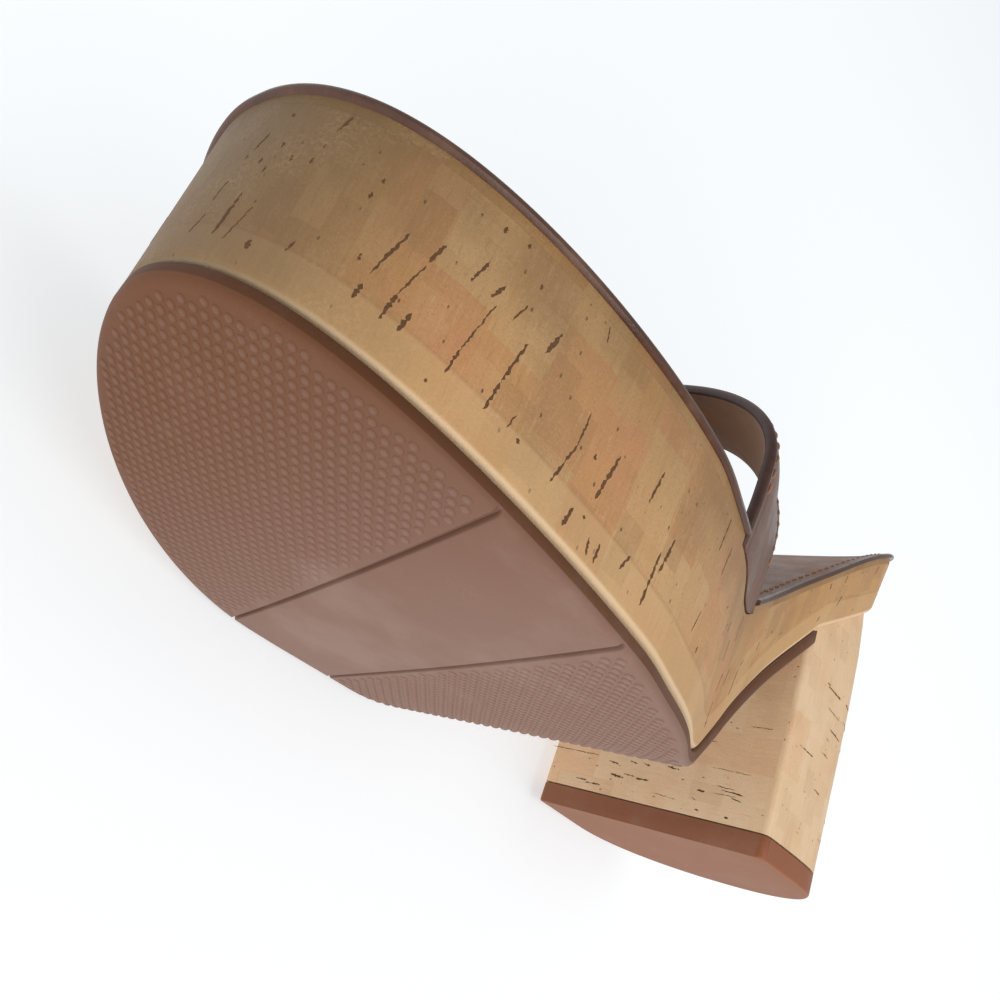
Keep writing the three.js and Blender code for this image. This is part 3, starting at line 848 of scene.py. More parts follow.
@dataclass
class Heel:
    """Cork-wrapped block heel and its rubber lift."""

    shape: SoleShape
    lift_thickness: float = 5.0
    lift_edge_round: float = 0.6
    corner_round: float = 1.6
    taper_length: float = 0.955
    taper_width: float = 0.965
    cork_edge_round: float = 1.6
    columns: int = 14

    def lines(self) -> dict[Side, Outline]:
        """Stations from the back of the seat to the breast, with the breast's rounded corners.

        Returns:
            The stations of both sides, as many on either.
        """
        breast = -self.shape.breast_setback
        lines = {}
        for side in Side:
            line = self.shape.side(side)
            keep = line.point[:, 0] < breast - self.corner_round
            point, out = line.point[keep], line.out[keep]
            corner_y = float(self.shape.half_width(side, breast))
            angle = np.radians([0, 15, 30, 45, 60, 75, 90])
            corner = np.column_stack([
                breast - self.corner_round * (1 - np.sin(angle)),
                corner_y - side.value * self.corner_round * (1 - np.cos(angle)),
            ])
            corner_out = np.column_stack([np.zeros(len(angle)), np.full(len(angle), side.value)])
            point = np.vstack([point, corner])
            out = np.vstack([out, corner_out])
            lines[side] = Outline(point, out, run_of(point))
        count, bend = min(len(lines[side].run) for side in Side), len(angle)
        for side in Side:
            line = lines[side]
            spread = np.r_[np.linspace(0, len(line.run) - bend - 1, count - bend),
                           len(line.run) - np.arange(bend, 0, -1)]
            lines[side] = line.at(spread, unit_out=False)
        return lines

    def drawn_in(self, line: Outline, inset: float, height: Array | float) -> Array:
        """Points of the heel's wall at a height, drawn in towards its foot.

        Args:
            line: the outline.
            inset: millimetres inside it.
            height: height of the points.

        Returns:
            A point for each station.
        """
        breast = -self.shape.breast_setback
        flat = line.point - line.out * inset
        share = 1 - np.clip(height / self.shape.heel_height, 0, 1)
        x = mix(flat[:, 0], breast + (flat[:, 0] - breast) * self.taper_length, share)
        centre = self.shape.seat_centre
        y = mix(flat[:, 1], centre + (flat[:, 1] - centre) * self.taper_width, share)
        return np.column_stack([x, y, np.broadcast_to(height, x.shape)])

    def build(
        self,
        shop: Workshop,
        name: str,
        levels: Sequence[Level],
        materials: Sequence[Material],
        floor_finish: int,
    ) -> Piece:
        """Lofts the block or the lift, with its flat breast.

        Args:
            shop: places the mesh.
            name: the piece's name.
            levels: rings from its foot up.
            materials: its finishes.
            floor_finish: which finish its foot has.

        Returns:
            The piece.
        """
        maker = Layered(self.shape, columns=self.columns)
        lines = self.lines()
        rings = {side: [level(side, lines[side]) for level in levels] for side in Side}

        def flat(ring: int) -> Callable[[Array, Array], Array]:
            """A face that spans the two sides of one ring."""
            def height(x: Array, share: Array) -> Array:
                """Height of the face at a share across."""
                outer, inner = rings[Side.OUTER][ring][:, 2], rings[Side.INNER][ring][:, 2]
                return mix(outer[:, None], inner[:, None], share) if x.ndim > 1 else outer
            return height

        patch = maker.loft(lines, levels, flat(0), flat(-1), 0, floor_finish, 0)
        return shop.mesh(name, [patch], materials, caps=True, sharp=35)

    def block(self, shop: Workshop, materials: Sequence[Material]) -> Piece:
        """Builds the cork-wrapped block.

        Args:
            shop: places the mesh.
            materials: the cork.

        Returns:
            The block.
        """
        foot = self.lift_thickness + self.shape.clearance

        def at(share: float) -> Level:
            """A ring of the block, at a share of its height."""
            def level(side: Side, line: Outline) -> Array:
                """Points of the ring along one side."""
                top = self.shape.cork_under(line.point[:, 0]) - self.shape.clearance
                inset = self.cork_edge_round * share**6
                return self.drawn_in(line, inset, mix(foot, top, share))
            return level

        levels = [at(share) for share in (0.0, 0.01, 0.2, 0.4, 0.6, 0.8, 0.94, 1.0)]
        piece = self.build(shop, "heel_cork", levels, materials, 0)
        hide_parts("heel_block")
        return piece

    def lift(self, shop: Workshop, materials: Sequence[Material]) -> Piece:
        """Builds the rubber lift with its rounded lower edge.

        Args:
            shop: places the mesh.
            materials: the finishes of its side and its tread.

        Returns:
            The lift.
        """
        def at(degrees: float) -> Level:
            """A ring of the lift's rounded edge."""
            inset, height = rounded(self.lift_edge_round, degrees)
            return lambda side, line: self.drawn_in(line, inset, height)

        levels = [at(degrees) for degrees in (0, 30, 60, 90)]
        levels += [
            lambda side, line: self.drawn_in(line, 0.0, self.lift_thickness - 0.2),
            lambda side, line: self.drawn_in(line, 0.15, self.lift_thickness),
        ]
        piece = self.build(shop, "heel_lift_rubber", levels, materials, 1)
        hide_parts("heel_lift")
        return piece


@dataclass(frozen=True)
class Crease:
    """A soft trough, or a ridge, of the band, in millimetres.

    It lies ahead of the band's back edge and runs over the foot from its outer side.
    """

    ahead: float
    over: float
    width: float
    reach: float
    height: float
    bow: float = 2.1


@dataclass
class VampBand:
    """The upper: one wide leather band with its lining, painted edges, creases and stitches."""

    shape: SoleShape
    thickness: float = 2.0
    front_outer: float = 5.0
    front_top: float = -15.0
    front_inner: float = -9.0
    back_outer: float = -40.0
    back_top: float = -51.0
    back_inner: float = -48.0
    height_front: float = 35.0
    height_slope: float = 0.17
    bulge_height: float = 13.0
    proud: float = 0.7
    foot_inset: float = 0.7
    ridge_shift: float = 4.0
    leg_share: float = 3 / 32
    share_steps: int = 190
    run_steps: int = 56
    stitch_inset: float = 2.6
    stitch_length: float = 2.1
    stitch_pitch: float = 3.0
    stitch_thickness: float = 0.55
    stitch_margin: float = 1.5
    stitch_press: float = 0.18
    stitch_press_width: float = 0.5
    stitch_sink: float = 0.06
    stitched_share: tuple[float, float] = (0.06, 0.94)
    bulge: float = 0.0
    width: float = 42.0
    arc: float = 151.0
    skin_width: float = 45.0
    edge_share: float = 1.0 / 50
    folds: tuple[Crease, ...] = (
        Crease(8.4, 75.5, 1.3, 30.2, -0.42),
        Crease(11.3, 71.0, 1.5, 33.2, 0.28),
        Crease(15.1, 78.5, 1.2, 25.7, -0.34),
        Crease(18.5, 74.0, 1.7, 28.7, 0.22),
        Crease(12.6, 36.2, 1.3, 9.1, -0.25),
        Crease(16.0, 116.3, 1.3, 10.6, -0.25),
        Crease(26.0, 83.0, 2.1, 24.2, -0.16),
    )

    def surface(self, x: Array, share: Array) -> Array:
        """Points of the band's outer surface: share 0 is its outer foot, 1 its inner foot.

        Args:
            x: places along the shoe.
            share: shares over the foot.

        Returns:
            The points.
        """
        shape = self.shape
        outer_y = shape.rim(Side.OUTER, x) - self.bulge
        inner_y = shape.rim(Side.INNER, x) + self.proud
        shoulder = shape.foot(x) + self.bulge_height
        foot = shape.cork_top(x) + shape.clearance
        up = np.clip(np.minimum(share, 1 - share) / self.leg_share, 0, 1)
        outer = share < 0.5
        tuck = (np.where(outer, self.bulge, self.proud) + self.foot_inset) * (1 - up) ** 2
        leg_y = np.where(outer, outer_y + tuck, inner_y - tuck)
        angle = np.pi * np.clip((share - self.leg_share) / (1 - 2 * self.leg_share), 0, 1)
        height = self.height_front - self.bulge_height + self.height_slope * (shape.ball_line - x)
        lift = np.sin(angle)
        arch_y = (outer_y + inner_y) / 2 + np.cos(angle) * (outer_y - inner_y) / 2
        arch_y = arch_y + self.ridge_shift * lift**2
        leg = (share < self.leg_share) | (share > 1 - self.leg_share)
        y = np.where(leg, leg_y, arch_y)
        z = np.where(leg, mix(foot, shoulder, up), shoulder + height * lift)
        return np.stack([x + 0 * share, y, z], axis=-1)

    def edge(self, outer: float, top: float, inner: float, share: Array) -> Array:
        """Where an edge of the band runs."""
        return mix(mix(outer, inner, share), top, np.sin(np.pi * share) ** 2)

    def grid(self, run: Array, share: Array) -> Array:
        """Points of the surface over a grid of shares along the shoe and over the foot."""
        back = self.edge(self.back_outer, self.back_top, self.back_inner, share)
        front = self.edge(self.front_outer, self.front_top, self.front_inner, share)
        return self.surface(mix(back, front, run), share)

    def normals(self, run: Array, share: Array) -> Array:
        """Outward directions of the surface.

        Args:
            run: shares along the shoe.
            share: shares over the foot.

        Returns:
            A direction for each point.
        """
        step = 1e-3
        over = self.grid(run, np.minimum(share + step, 1)) - self.grid(run, np.maximum(share - step, 0))
        along = self.grid(np.minimum(run + step, 1), share) - self.grid(np.maximum(run - step, 0), share)
        normal = np.cross(along, over)
        feet = (share == 0) | (share == 1)
        normal[..., 2] = np.where(feet, 0, normal[..., 2])
        return normal / np.linalg.norm(normal, axis=-1)[..., None]

    def settle(self, frame: ShoeFrame) -> None:
        """Finds the outer bulge that brings the band just down to the floor.

        Args:
            frame: says where the floor is.
        """
        run, share = np.meshgrid(np.linspace(0, 1, 10), np.linspace(0, 0.5, 200))
        low, high = -self.foot_inset, self.bulge_height
        for _ in range(24):
            self.bulge = (low + high) / 2
            points = self.grid(run, share)
            if frame.place(points.reshape(-1, 3))[:, 2].min() < 0:
                high = self.bulge
            else:
                low = self.bulge
        self.bulge = low

    def creases(self, run: Array, share: Array) -> Array:
        """Height of the listed creases: soft troughs and ridges where the foot bends.

        Args:
            run: shares along the shoe.
            share: shares over the foot.

        Returns:
            The height at each point, in millimetres.
        """
        ahead, over = run * self.width, share * self.arc
        total = np.zeros(np.broadcast(run, share).shape)
        for fold in self.folds:
            off = (over - fold.over) / fold.reach
            bowed = fold.ahead + fold.bow * off**2
            total = total + fold.height * np.exp(-((ahead - bowed) / fold.width) ** 2 - off**4)
        return total

    def shell(self, shop: Workshop, materials: Sequence[Material]) -> Piece:
        """Builds the band as one hollow wall: leather outside, lining inside, painted edges.

        Args:
            shop: places the mesh.
            materials: leather, lining and painted edge.

        Returns:
            The band.
        """
        share = np.linspace(0, 1, self.share_steps + 1)
        half = self.thickness / 2
        bend = np.radians(np.linspace(90, -90, 9))[1:-1]
        edge_run = self.edge_share
        outer_run = np.linspace(edge_run, 1 - edge_run, self.run_steps)
        runs = np.concatenate([outer_run, 1 - edge_run + edge_run * np.cos(bend),
                               outer_run[::-1], edge_run - edge_run * np.cos(bend)])
        depth = np.concatenate([np.zeros(self.run_steps), half - half * np.sin(bend),
                                np.full(self.run_steps, self.thickness), half + half * np.sin(bend)])
        run_grid = np.broadcast_to(runs, (len(share), len(runs)))
        share_grid = np.broadcast_to(share[:, None], run_grid.shape)
        points = self.grid(run_grid, share_grid)
        normal = self.normals(run_grid, share_grid)
        off_stitch = np.minimum(run_grid, 1 - run_grid) * self.skin_width - self.stitch_inset
        rolled = -self.stitch_press * np.exp(-((off_stitch / self.stitch_press_width) ** 2))
        outside = (depth < half / 2)[None, :]
        relief = self.creases(run_grid, share_grid) + np.where(outside, rolled, 0)
        points = points + normal * (relief - depth[None, :])[..., None]
        over = run_of(points[:, 0])[:, None]
        uv = np.stack([np.broadcast_to(over, run_grid.shape), run_grid * self.skin_width], axis=-1)
        finish = np.full(len(runs), 2)
        finish[:self.run_steps - 1] = 0
        inner_start = self.run_steps + len(bend)
        finish[inner_start:inner_start + self.run_steps - 1] = 1
        patch = Patch(points, uv, finish)
        piece = shop.mesh("vamp_leather", [patch], materials, caps=True, sharp=60)
        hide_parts("vamp_band")
        return piece

    def stitches(self, shop: Workshop, material: Material) -> Piece:
        """Builds the two stitched lines along the band's edges.

        Args:
            shop: places the mesh.
            material: the thread.

        Returns:
            The joined stitches.
        """
        seams = []
        inset = self.stitch_inset / self.skin_width
        for at_run in (inset, 1 - inset):
            share = np.linspace(*self.stitched_share, 1200)
            run = np.full_like(share, at_run)
            normal = self.normals(run, share)
            sink = (self.creases(run, share) - self.stitch_sink)[:, None]
            seams.append(seam(self.grid(run, share) + normal * sink, normal, self.stitch_margin,
                              self.stitch_pitch))
        return stitch_row(shop, "vamp_stitches", seams, self.stitch_length, self.stitch_thickness, material)


Seam = tuple[Array, Array, Array]


def seam(line: Array, up: Array, margin: float, pitch: float) -> Seam:
    """Even places for the stitches of a line.

    Args:
        line: points of the line.
        up: outward directions at them.
        margin: length left free at either end, in millimetres.
        pitch: from one stitch to the next, in millimetres.

    Returns:
        The middle of each stitch, the way it runs and its outward direction.
    """
    length = run_of(line)
    at = np.arange(margin, length[-1] - margin, pitch)
    centre = sampled(line, length, at)
    return centre, sampled(line, length, at + 0.2) - centre, sampled(up, length, at)


def stitch_row(
    shop: Workshop,
    name: str,
    seams: Sequence[Seam],
    length: float,
    thickness: float,
    material: Material,
) -> Piece:
    """Builds stitches as one joined mesh of short twisted-thread capsules.

    Args:
        shop: places the mesh.
        name: the piece's name.
        seams: places of the stitches, line by line.
        length: length of a stitch in millimetres.
        thickness: its thickness in millimetres.
        material: the thread.

    Returns:
        The joined stitches.
    """
    centres, forward, up = (np.vstack(part) for part in zip(*seams))
    forward = unit(forward)
    up = unit(up - forward * (up * forward).sum(axis=1)[:, None])
    across = np.cross(forward, up)
    angle = np.arange(8) * np.pi / 4
    stations = ((-0.5, 0.02, -0.55), (-0.46, 0.5, -0.25), (-0.34, 0.9, 0.05), (-0.12, 1.0, 0.2),
                (0.12, 1.0, 0.2), (0.34, 0.9, 0.05), (0.46, 0.5, -0.25), (0.5, 0.02, -0.55))
    uv = np.stack(np.meshgrid(np.linspace(0, 1, len(angle)), np.linspace(0, length, len(stations))), axis=-1)
    patches = []
    for k in range(len(centres)):
        ring = np.cos(angle)[:, None] * across[k] + np.sin(angle)[:, None] * up[k]
        rows = []
        for along, girth, lift in stations:
            middle = centres[k] + forward[k] * along * length + up[k] * lift * thickness
            rows.append(middle + ring * (girth * thickness / 2))
        patches.append(Patch(np.array(rows), uv))
    piece = shop.mesh(name, patches, [material], caps=True, merge=FINE_MERGE, sharp=80)
    return piece


@dataclass
class Footbed(Layered):
    """Insole with its leather-bound rim, sock lining and stitched line."""

    band: VampBand
    edge_round: float = 0.9
    rim_height: float = 1.5
    notch_clearance: float = 0.45
    lining_drop: float = 0.28
    stitch_inset: float = 3.1
    stitch_margin: float = 4.0
    stitch_pitch: float = 3.2
    stitch_length: float = 2.2
    stitch_thickness: float = 0.5
    stitch_sink: float = 0.02
    columns: int = field(default=40, kw_only=True)

    def notch(self, side: Side, x: Array) -> Array:
        """How far the rim is cut in where the band goes down beside it.

        Args:
            side: which side.
            x: places along the shoe.

        Returns:
            The cut at each place.
        """
        band = self.band
        back = (band.back_outer if side is Side.OUTER else band.back_inner) - self.notch_clearance
        front = (band.front_outer if side is Side.OUTER else band.front_inner) + self.notch_clearance
        depth = band.foot_inset + band.thickness + self.notch_clearance
        return depth * smooth(x, back - 0.4, back + 0.1) * (1 - smooth(x, front - 0.1, front + 0.4))

    def grown(self, grow: float, lift: float) -> Level:
        """A ring of the rim, outside the outline by the wall's lean and grow.

        Args:
            grow: millimetres outside the wall's top.
            lift: millimetres over the rim.

        Returns:
            The level.
        """
        def level(side: Side, line: Outline) -> Array:
            """Points of the ring along one side."""
            reach = self.shape.lean(side, line.out) + grow - self.notch(side, line.point[:, 0])
            flat = line.point + line.out * reach[:, None]
            return np.column_stack([flat, self.shape.foot(flat[:, 0]) + lift])

        return level

    def body(self, shop: Workshop, materials: Sequence[Material]) -> Piece:
        """Builds the footbed: the rounded rim, the binding's inner edge and the sock lining.

        Args:
            shop: places the mesh.
            materials: rim, sock lining and cork.

        Returns:
            The footbed.
        """
        shape = self.shape
        overhang, thick, soft = shape.rim_overhang, shape.footbed_thickness, self.edge_round
        levels = [
            self.grown(0.0, -thick - shape.clearance + 0.02),
            self.grown(0.05, -self.rim_height - 0.05),
            self.grown(overhang - soft / 2, -self.rim_height),
            self.grown(overhang, -self.rim_height + soft / 4),
        ]
        for degrees in (0, 22, 45, 67, 90):
            down, inset = rounded(soft, degrees)
            levels.append(self.grown(overhang - inset, -down))

        def roof(x: Array, share: Array) -> Array:
            """Height of the top, a little lower inside the binding."""
            step = self.lining_drop * smooth(np.minimum(share, 1 - share), 0.052, 0.062)
            return shape.foot(x) + shape.dish(x, share) - step

        patch = self.loft(
            self.lines, levels, lambda x, _: shape.foot(x) - thick, roof, (2, *[0] * 7), 2, 1
        )
        piece = shop.mesh("footbed_leather", [patch], materials, sharp=50)
        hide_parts("footbed")
        return piece

    def stitches(self, shop: Workshop, material: Material) -> Piece:
        """Builds the stitched line inside the rim, all round the footbed.

        Args:
            shop: places the mesh.
            material: the thread.

        Returns:
            The joined stitches.
        """
        seams = []
        shape = self.shape
        across = {Side.OUTER: Side.INNER, Side.INNER: Side.OUTER}
        rim = self.grown(shape.rim_overhang, 0.0)
        for side in Side:
            ring = self.grown(shape.rim_overhang - self.stitch_inset, 0.0)(side, self.lines[side])
            opposite = rim(across[side], self.lines[across[side]])
            width = np.abs(np.interp(ring[:, 0], opposite[:, 0], opposite[:, 1]) - ring[:, 1])
            share = self.stitch_inset / np.maximum(width, 8)
            share = share if side is Side.OUTER else 1 - share
            ring[:, 2] += shape.dish(ring[:, 0], share) - self.stitch_sink
            up = np.tile([0.0, 0.0, 1.0], (len(ring), 1))
            seams.append(seam(ring, up, self.stitch_margin, self.stitch_pitch))
        return stitch_row(shop, "footbed_stitches", seams, self.stitch_length, self.stitch_thickness,
                          material)


@dataclass(frozen=True)
class Streak:
    """A dark streak of the cork, by its run along the wall and shares of the wall's height."""

    run: float
    start: float
    end: float
    width: float
    slant: float = 0.0


def ragged_width(draw: np.random.Generator, steps: int, least: float, nicks: float) -> Array:
    """Shares of a streak's width along it: uneven, nicked here and there and thin at both ends.

    Args:
        draw: the streaks' own random numbers.
        steps: how many places along it.
        least: smallest share away from the nicks and the ends.
        nicks: chance that a place is nicked.

    Returns:
        A share of the width for each place.
    """
    along = np.linspace(0, 1, steps)
    ragged = draw.uniform(least, 1.0, steps) * np.sin(np.pi * (0.04 + 0.92 * along)) ** 0.3
    ragged[draw.random(steps) < nicks] *= 0.3
    ragged[[0, -1]] = 0.04
    return ragged


@dataclass
class CorkStreaks:
    """Dark streaks and pits of the platform's cork, as thin slivers that follow its walls."""

    platform: Platform
    seed: int = 11
    outer_count: int = 120
    rear_count: int = 40
    charted_from: float = 183.0
    fullness: float = 0.72
    inner_chart: tuple[tuple[float, ...], ...] = (
        (255.0, 0.66, 0.78, 0.9, -1.0), (255.5, 0.6, 0.63, 0.7), (252.5, 0.57, 0.61, 0.8),
        (251.0, 0.52, 0.56, 0.6), (250.5, 0.69, 0.73, 0.8), (248.0, 0.62, 0.66, 0.9),
        (245.0, 0.64, 0.68, 0.9), (244.5, 0.75, 0.78, 0.6), (244.0, 0.87, 0.985, 1.0, -1.0),
        (252.0, 0.9, 0.925, 1.2), (256.5, 0.32, 0.45, 0.5, -0.5), (252.5, 0.11, 0.38, 1.0, -0.5),
        (250.5, 0.1, 0.31, 0.45, -1.5), (257.0, 0.11, 0.23, 0.7, -1.0), (246.5, 0.085, 0.14, 1.3),
        (241.5, 0.16, 0.23, 0.8, -0.5), (235.5, 0.61, 0.65, 0.9), (235.0, 0.72, 0.75, 0.9),
        (231.0, 0.29, 0.58, 0.8, -2.0), (231.5, 0.14, 0.23, 1.2, -0.5), (233.0, 0.31, 0.35, 0.9),
        (227.5, 0.14, 0.29, 1.2, -0.5), (227.0, 0.29, 0.5, 0.5, -1.5), (225.5, 0.52, 0.65, 0.9, -1.0),
        (225.0, 0.15, 0.265, 1.2, -0.5), (220.0, 0.59, 0.74, 0.9, -1.0), (219.0, 0.91, 0.95, 0.8),
        (217.0, 0.6, 0.7, 0.9, -1.0), (218.0, 0.15, 0.29, 0.8, -0.5), (217.5, 0.29, 0.59, 0.5, -1.5),
        (212.0, 0.15, 0.31, 0.9, -0.5), (211.5, 0.31, 0.56, 0.8, -1.0), (213.5, 0.59, 0.71, 0.45, -1.0),
        (208.0, 0.59, 0.74, 1.1, -1.0), (200.5, 0.14, 0.38, 0.8, -1.5), (199.0, 0.38, 0.56, 0.5),
        (193.5, 0.26, 0.53, 1.1, -1.0), (196.5, 0.03, 0.14, 1.3, -0.5), (191.5, 0.02, 0.1, 0.8, 0.5),
        (190.0, 0.02, 0.12, 0.9), (185.0, 0.49, 0.69, 0.9, -0.5), (185.5, 0.11, 0.21, 0.8, -1.0),
        (206.5, 0.15, 0.175, 0.9), (196.0, 0.4, 0.43, 0.9), (194.0, 0.14, 0.16, 0.9),
        (215.5, 0.94, 0.97, 0.8), (212.0, 0.82, 0.85, 0.8), (201.0, 0.9, 0.98, 0.45, 0.5),
        (219.5, 0.05, 0.07, 0.6), (208.5, 0.17, 0.25, 0.4, -0.5),
    )

    def all_streaks(self) -> list[tuple[Side, Streak]]:
        """The charted streaks of the inner wall, and scattered ones round the rest.

        Returns:
            Each streak with its side.
        """
        draw = np.random.default_rng(self.seed)
        found = [(Side.INNER, Streak(*row)) for row in self.inner_chart]
        ends = {Side.OUTER: self.platform.lines[Side.OUTER].run[-1], Side.INNER: self.charted_from}
        for side, count in ((Side.OUTER, self.outer_count), (Side.INNER, self.rear_count)):
            for _ in range(count):
                run = draw.uniform(4, ends[side] - 3)
                start = draw.uniform(0.03, 0.85)
                length = draw.choice([draw.uniform(0.02, 0.05), draw.uniform(0.08, 0.3)])
                end = min(start + length, 0.97)
                found.append((side, Streak(run, start, end, draw.uniform(0.4, 1.1), draw.uniform(-1, 0.5))))
        return found

    def build(self, shop: Workshop, material: Material) -> Piece:
        """Builds every streak as one joined mesh of ragged bars.

        Args:
            shop: places the mesh.
            material: the streaks' finish.

        Returns:
            The joined streaks.
        """
        draw = np.random.default_rng(self.seed + 1)
        patches = []
        for side, streak in self.all_streaks():
            steps = 5 + int((streak.end - streak.start) * 55)
            along = np.linspace(0, 1, steps)
            ragged = ragged_width(draw, steps, 0.45, 0.12)
            wander = streak.slant * along + draw.uniform(-0.1, 0.1, steps)
            share = mix(streak.start, streak.end, along)
            columns = []
            for shift, lift in STREAK_SECTION:
                run = streak.run + wander + shift * self.fullness * streak.width * ragged
                point, out = self.platform.wall_at(side, run, share)
                columns.append(point + out * lift)
            points = np.stack(columns, axis=1)
            patches.append(Patch(points, points[..., :2]))
        piece = shop.mesh("cork_streaks", patches, [material], merge=FINE_MERGE, sharp=80)
        return piece


@dataclass
class HeelStreaks:
    """Dark streaks of the heel's cork, which run level round the block and across its breast."""

    heel: Heel
    seed: int = 23
    breast_count: int = 24
    wall_count: int = 60
    fullness: float = 0.55
    draw: np.random.Generator = field(init=False)
    breast_chart: tuple[tuple[float, float, float, float], ...] = (
        (-31.0, -16.1, 14.6, 0.5), (-12.6, -9.6, 13.8, 1.1), (-6.4, -4.5, 14.9, 0.9), (-2.7, -0.6, 15.0, 1.1),
        (-11.1, -7.0, 10.6, 1.3), (-7.3, -4.1, 11.4, 0.6), (-3.6, 0.3, 10.9, 1.2), (-17.9, -13.1, 7.2, 0.9),
        (13.4, 15.6, 11.4, 1.1), (18.2, 23.0, 13.4, 0.5), (22.4, 25.1, 11.3, 0.6), (21.9, 22.9, 6.8, 1.1),
        (14.0, 15.3, 6.9, 0.8), (7.7, 10.9, 19.7, 0.8), (-29.0, -21.0, 17.2, 0.4), (2.0, 9.0, 8.4, 0.35),
        (-22.0, -12.0, 19.5, 0.4), (16.0, 26.0, 17.5, 0.35),
    )

    def sliver(
        self, path: Callable[[Array, Array, float], Array], start: float, end: float, width: float
    ) -> Patch:
        """One ragged streak.

        Args:
            path: gives points on the cork for places along, a shift of height and a lift off the surface.
            start: where the streak starts along its path, in millimetres.
            end: where it ends.
            width: its greatest width.

        Returns:
            The streak as a closed strip.
        """
        steps = 5 + int(abs(end - start) * 1.6)
        along = np.linspace(0, 1, steps)
        ragged = ragged_width(self.draw, steps, 0.4, 0.15)
        rise = self.draw.uniform(-0.4, 0.4) * along + self.draw.uniform(-0.1, 0.1, steps)
        place = mix(start, end, along)
        columns = [
            path(place, rise + shift * self.fullness * width * ragged, lift) for shift, lift in STREAK_SECTION
        ]
        points = np.stack(columns, axis=1)
        return Patch(points, points[..., :2])

    def on_breast(self, height: float) -> Callable[[Array, Array, float], Array]:
        """A level path across the breast.

        Args:
            height: height of the path.

        Returns:
            The path, for sliver.
        """
        shape, heel = self.heel.shape, self.heel

        def path(y: Array, rise: Array, lift: float) -> Array:
            """Points of the breast, which is drawn in towards the floor."""
            z = height + rise
            share = 1 - z / shape.heel_height
            centre = shape.seat_centre
            drawn = mix(y, centre + (y - centre) * heel.taper_width, share)
            return np.column_stack([np.full_like(y, lift - shape.breast_setback), drawn, z])

        return path

    def on_wall(self, line: Outline, height: float) -> Callable[[Array, Array, float], Array]:
        """A level path along one side of the block.

        Args:
            line: the side's outline.
            height: height of the path.

        Returns:
            The path, for sliver.
        """
        def path(run: Array, rise: Array, lift: float) -> Array:
            """Points of the wall at places along its line."""
            return self.heel.drawn_in(line.at_run(run, unit_out=False), -lift, height + rise)

        return path

    def build(self, shop: Workshop, material: Material) -> Piece:
        """Builds every streak as one joined mesh.

        Args:
            shop: places the mesh.
            material: the streaks' finish.

        Returns:
            The joined streaks.
        """
        self.draw = np.random.default_rng(self.seed)
        patches = [
            self.sliver(self.on_breast(z), start, end, width) for start, end, z, width in self.breast_chart
        ]
        for _ in range(self.breast_count):
            start, length = self.draw.uniform(-28, 24), self.draw.choice([1.2, 3.5, 6.0])
            height = self.draw.uniform(7.5, 44)
            patches.append(self.sliver(self.on_breast(height), start, min(start + length, 28.5),
                                       self.draw.uniform(0.35, 0.9)))
        lines = self.heel.lines()
        for _ in range(self.wall_count):
            line = lines[self.draw.choice(list(Side))]
            length = self.draw.choice([1.5, 4.0, 8.0])
            start = self.draw.uniform(1.0, line.run[-1] - 14.0)
            height = self.draw.uniform(7.5, 48)
            patches.append(self.sliver(self.on_wall(line, height), start, start + length,
                                       self.draw.uniform(0.35, 0.9)))
        piece = shop.mesh("heel_streaks", patches, [material], merge=FINE_MERGE, sharp=80)
        return piece


class Board:
    """Lays out the nodes of one tree."""

    def __init__(self, tree: Tree) -> None:
        """Keeps the tree and starts at its first column."""
        self.tree = tree
        self.count = 0

    def add(self, kind: str, **values: object) -> Node:
        """Adds a node; a value sets a property, or an input socket of that name.

        Args:
            kind: the node's type.
            values: its properties and inputs, by name.

        Returns:
            The node.
        """
        node = self.tree.nodes.new(kind)
        node.location = (180 * (self.count % 9), -260 * (self.count // 9))
        self.count += 1
        for name, value in values.items():
            if hasattr(node, name) and name not in node.inputs:
                setattr(node, name, value)
            else:
                self.put(node, name, value)
        return node

    def put(self, node: Node, name: str | int, value: object) -> None:
        """Links a socket to an input, or sets the input's own value.

        Args:
            node: the node.
            name: its input.
            value: a socket, a colour or a number.
        """
        socket = node.inputs[name]
        if isinstance(value, Socket):
            self.tree.links.new(value, socket)
        elif isinstance(value, tuple) and len(value) == 3 and socket.type == "RGBA":
            socket.default_value = (*value, 1.0)
        else:
            socket.default_value = value

    def result(self, kind: str, inputs: dict[int, object], output: int = 0, **values: object) -> Socket:
        """Adds a node whose inputs go by number.

        Args:
            kind: the node's type.
            inputs: a value or a socket for each input's number.
            output: number of the output.
            values: its properties, by name.

        Returns:
            The output.
        """
        node = self.add(kind, **values)
        for index, value in inputs.items():
            self.put(node, index, value)
        return node.outputs[output]

    def blend(self, share: object, first: object, second: object) -> Socket:
        """Mixes two colours, by a share of the second."""
        return self.result("ShaderNodeMix", {0: share, 6: first, 7: second}, 2, data_type="RGBA")

    def math(self, operation: str, first: object, second: object = 0.0) -> Socket:
        """The result of a sum, product or other step on two values."""
        return self.result("ShaderNodeMath", {0: first, 1: second}, operation=operation)

    def ramp(self, value: object, low: float, high: float, start: float = 0.0, end: float = 1.0) -> Socket:
        """Takes a value's range, from low to high, to the one from start to end, clamped and smooth."""
        inputs = {0: value, 1: low, 2: high, 3: start, 4: end}
        return self.result("ShaderNodeMapRange", inputs, interpolation_type="SMOOTHSTEP")

    def axes(self, vector: object) -> bpy.types.bpy_prop_collection:
        """The X, Y and Z of a vector, as outputs."""
        return self.add("ShaderNodeSeparateXYZ", Vector=vector).outputs

    def scaled(self, vector: object, scale: Triple) -> Socket:
        """A vector stretched along its axes."""
        return self.result("ShaderNodeVectorMath", {0: vector, 1: scale}, operation="MULTIPLY")


GroupParts = tuple[Tree, Board, Node, Node]


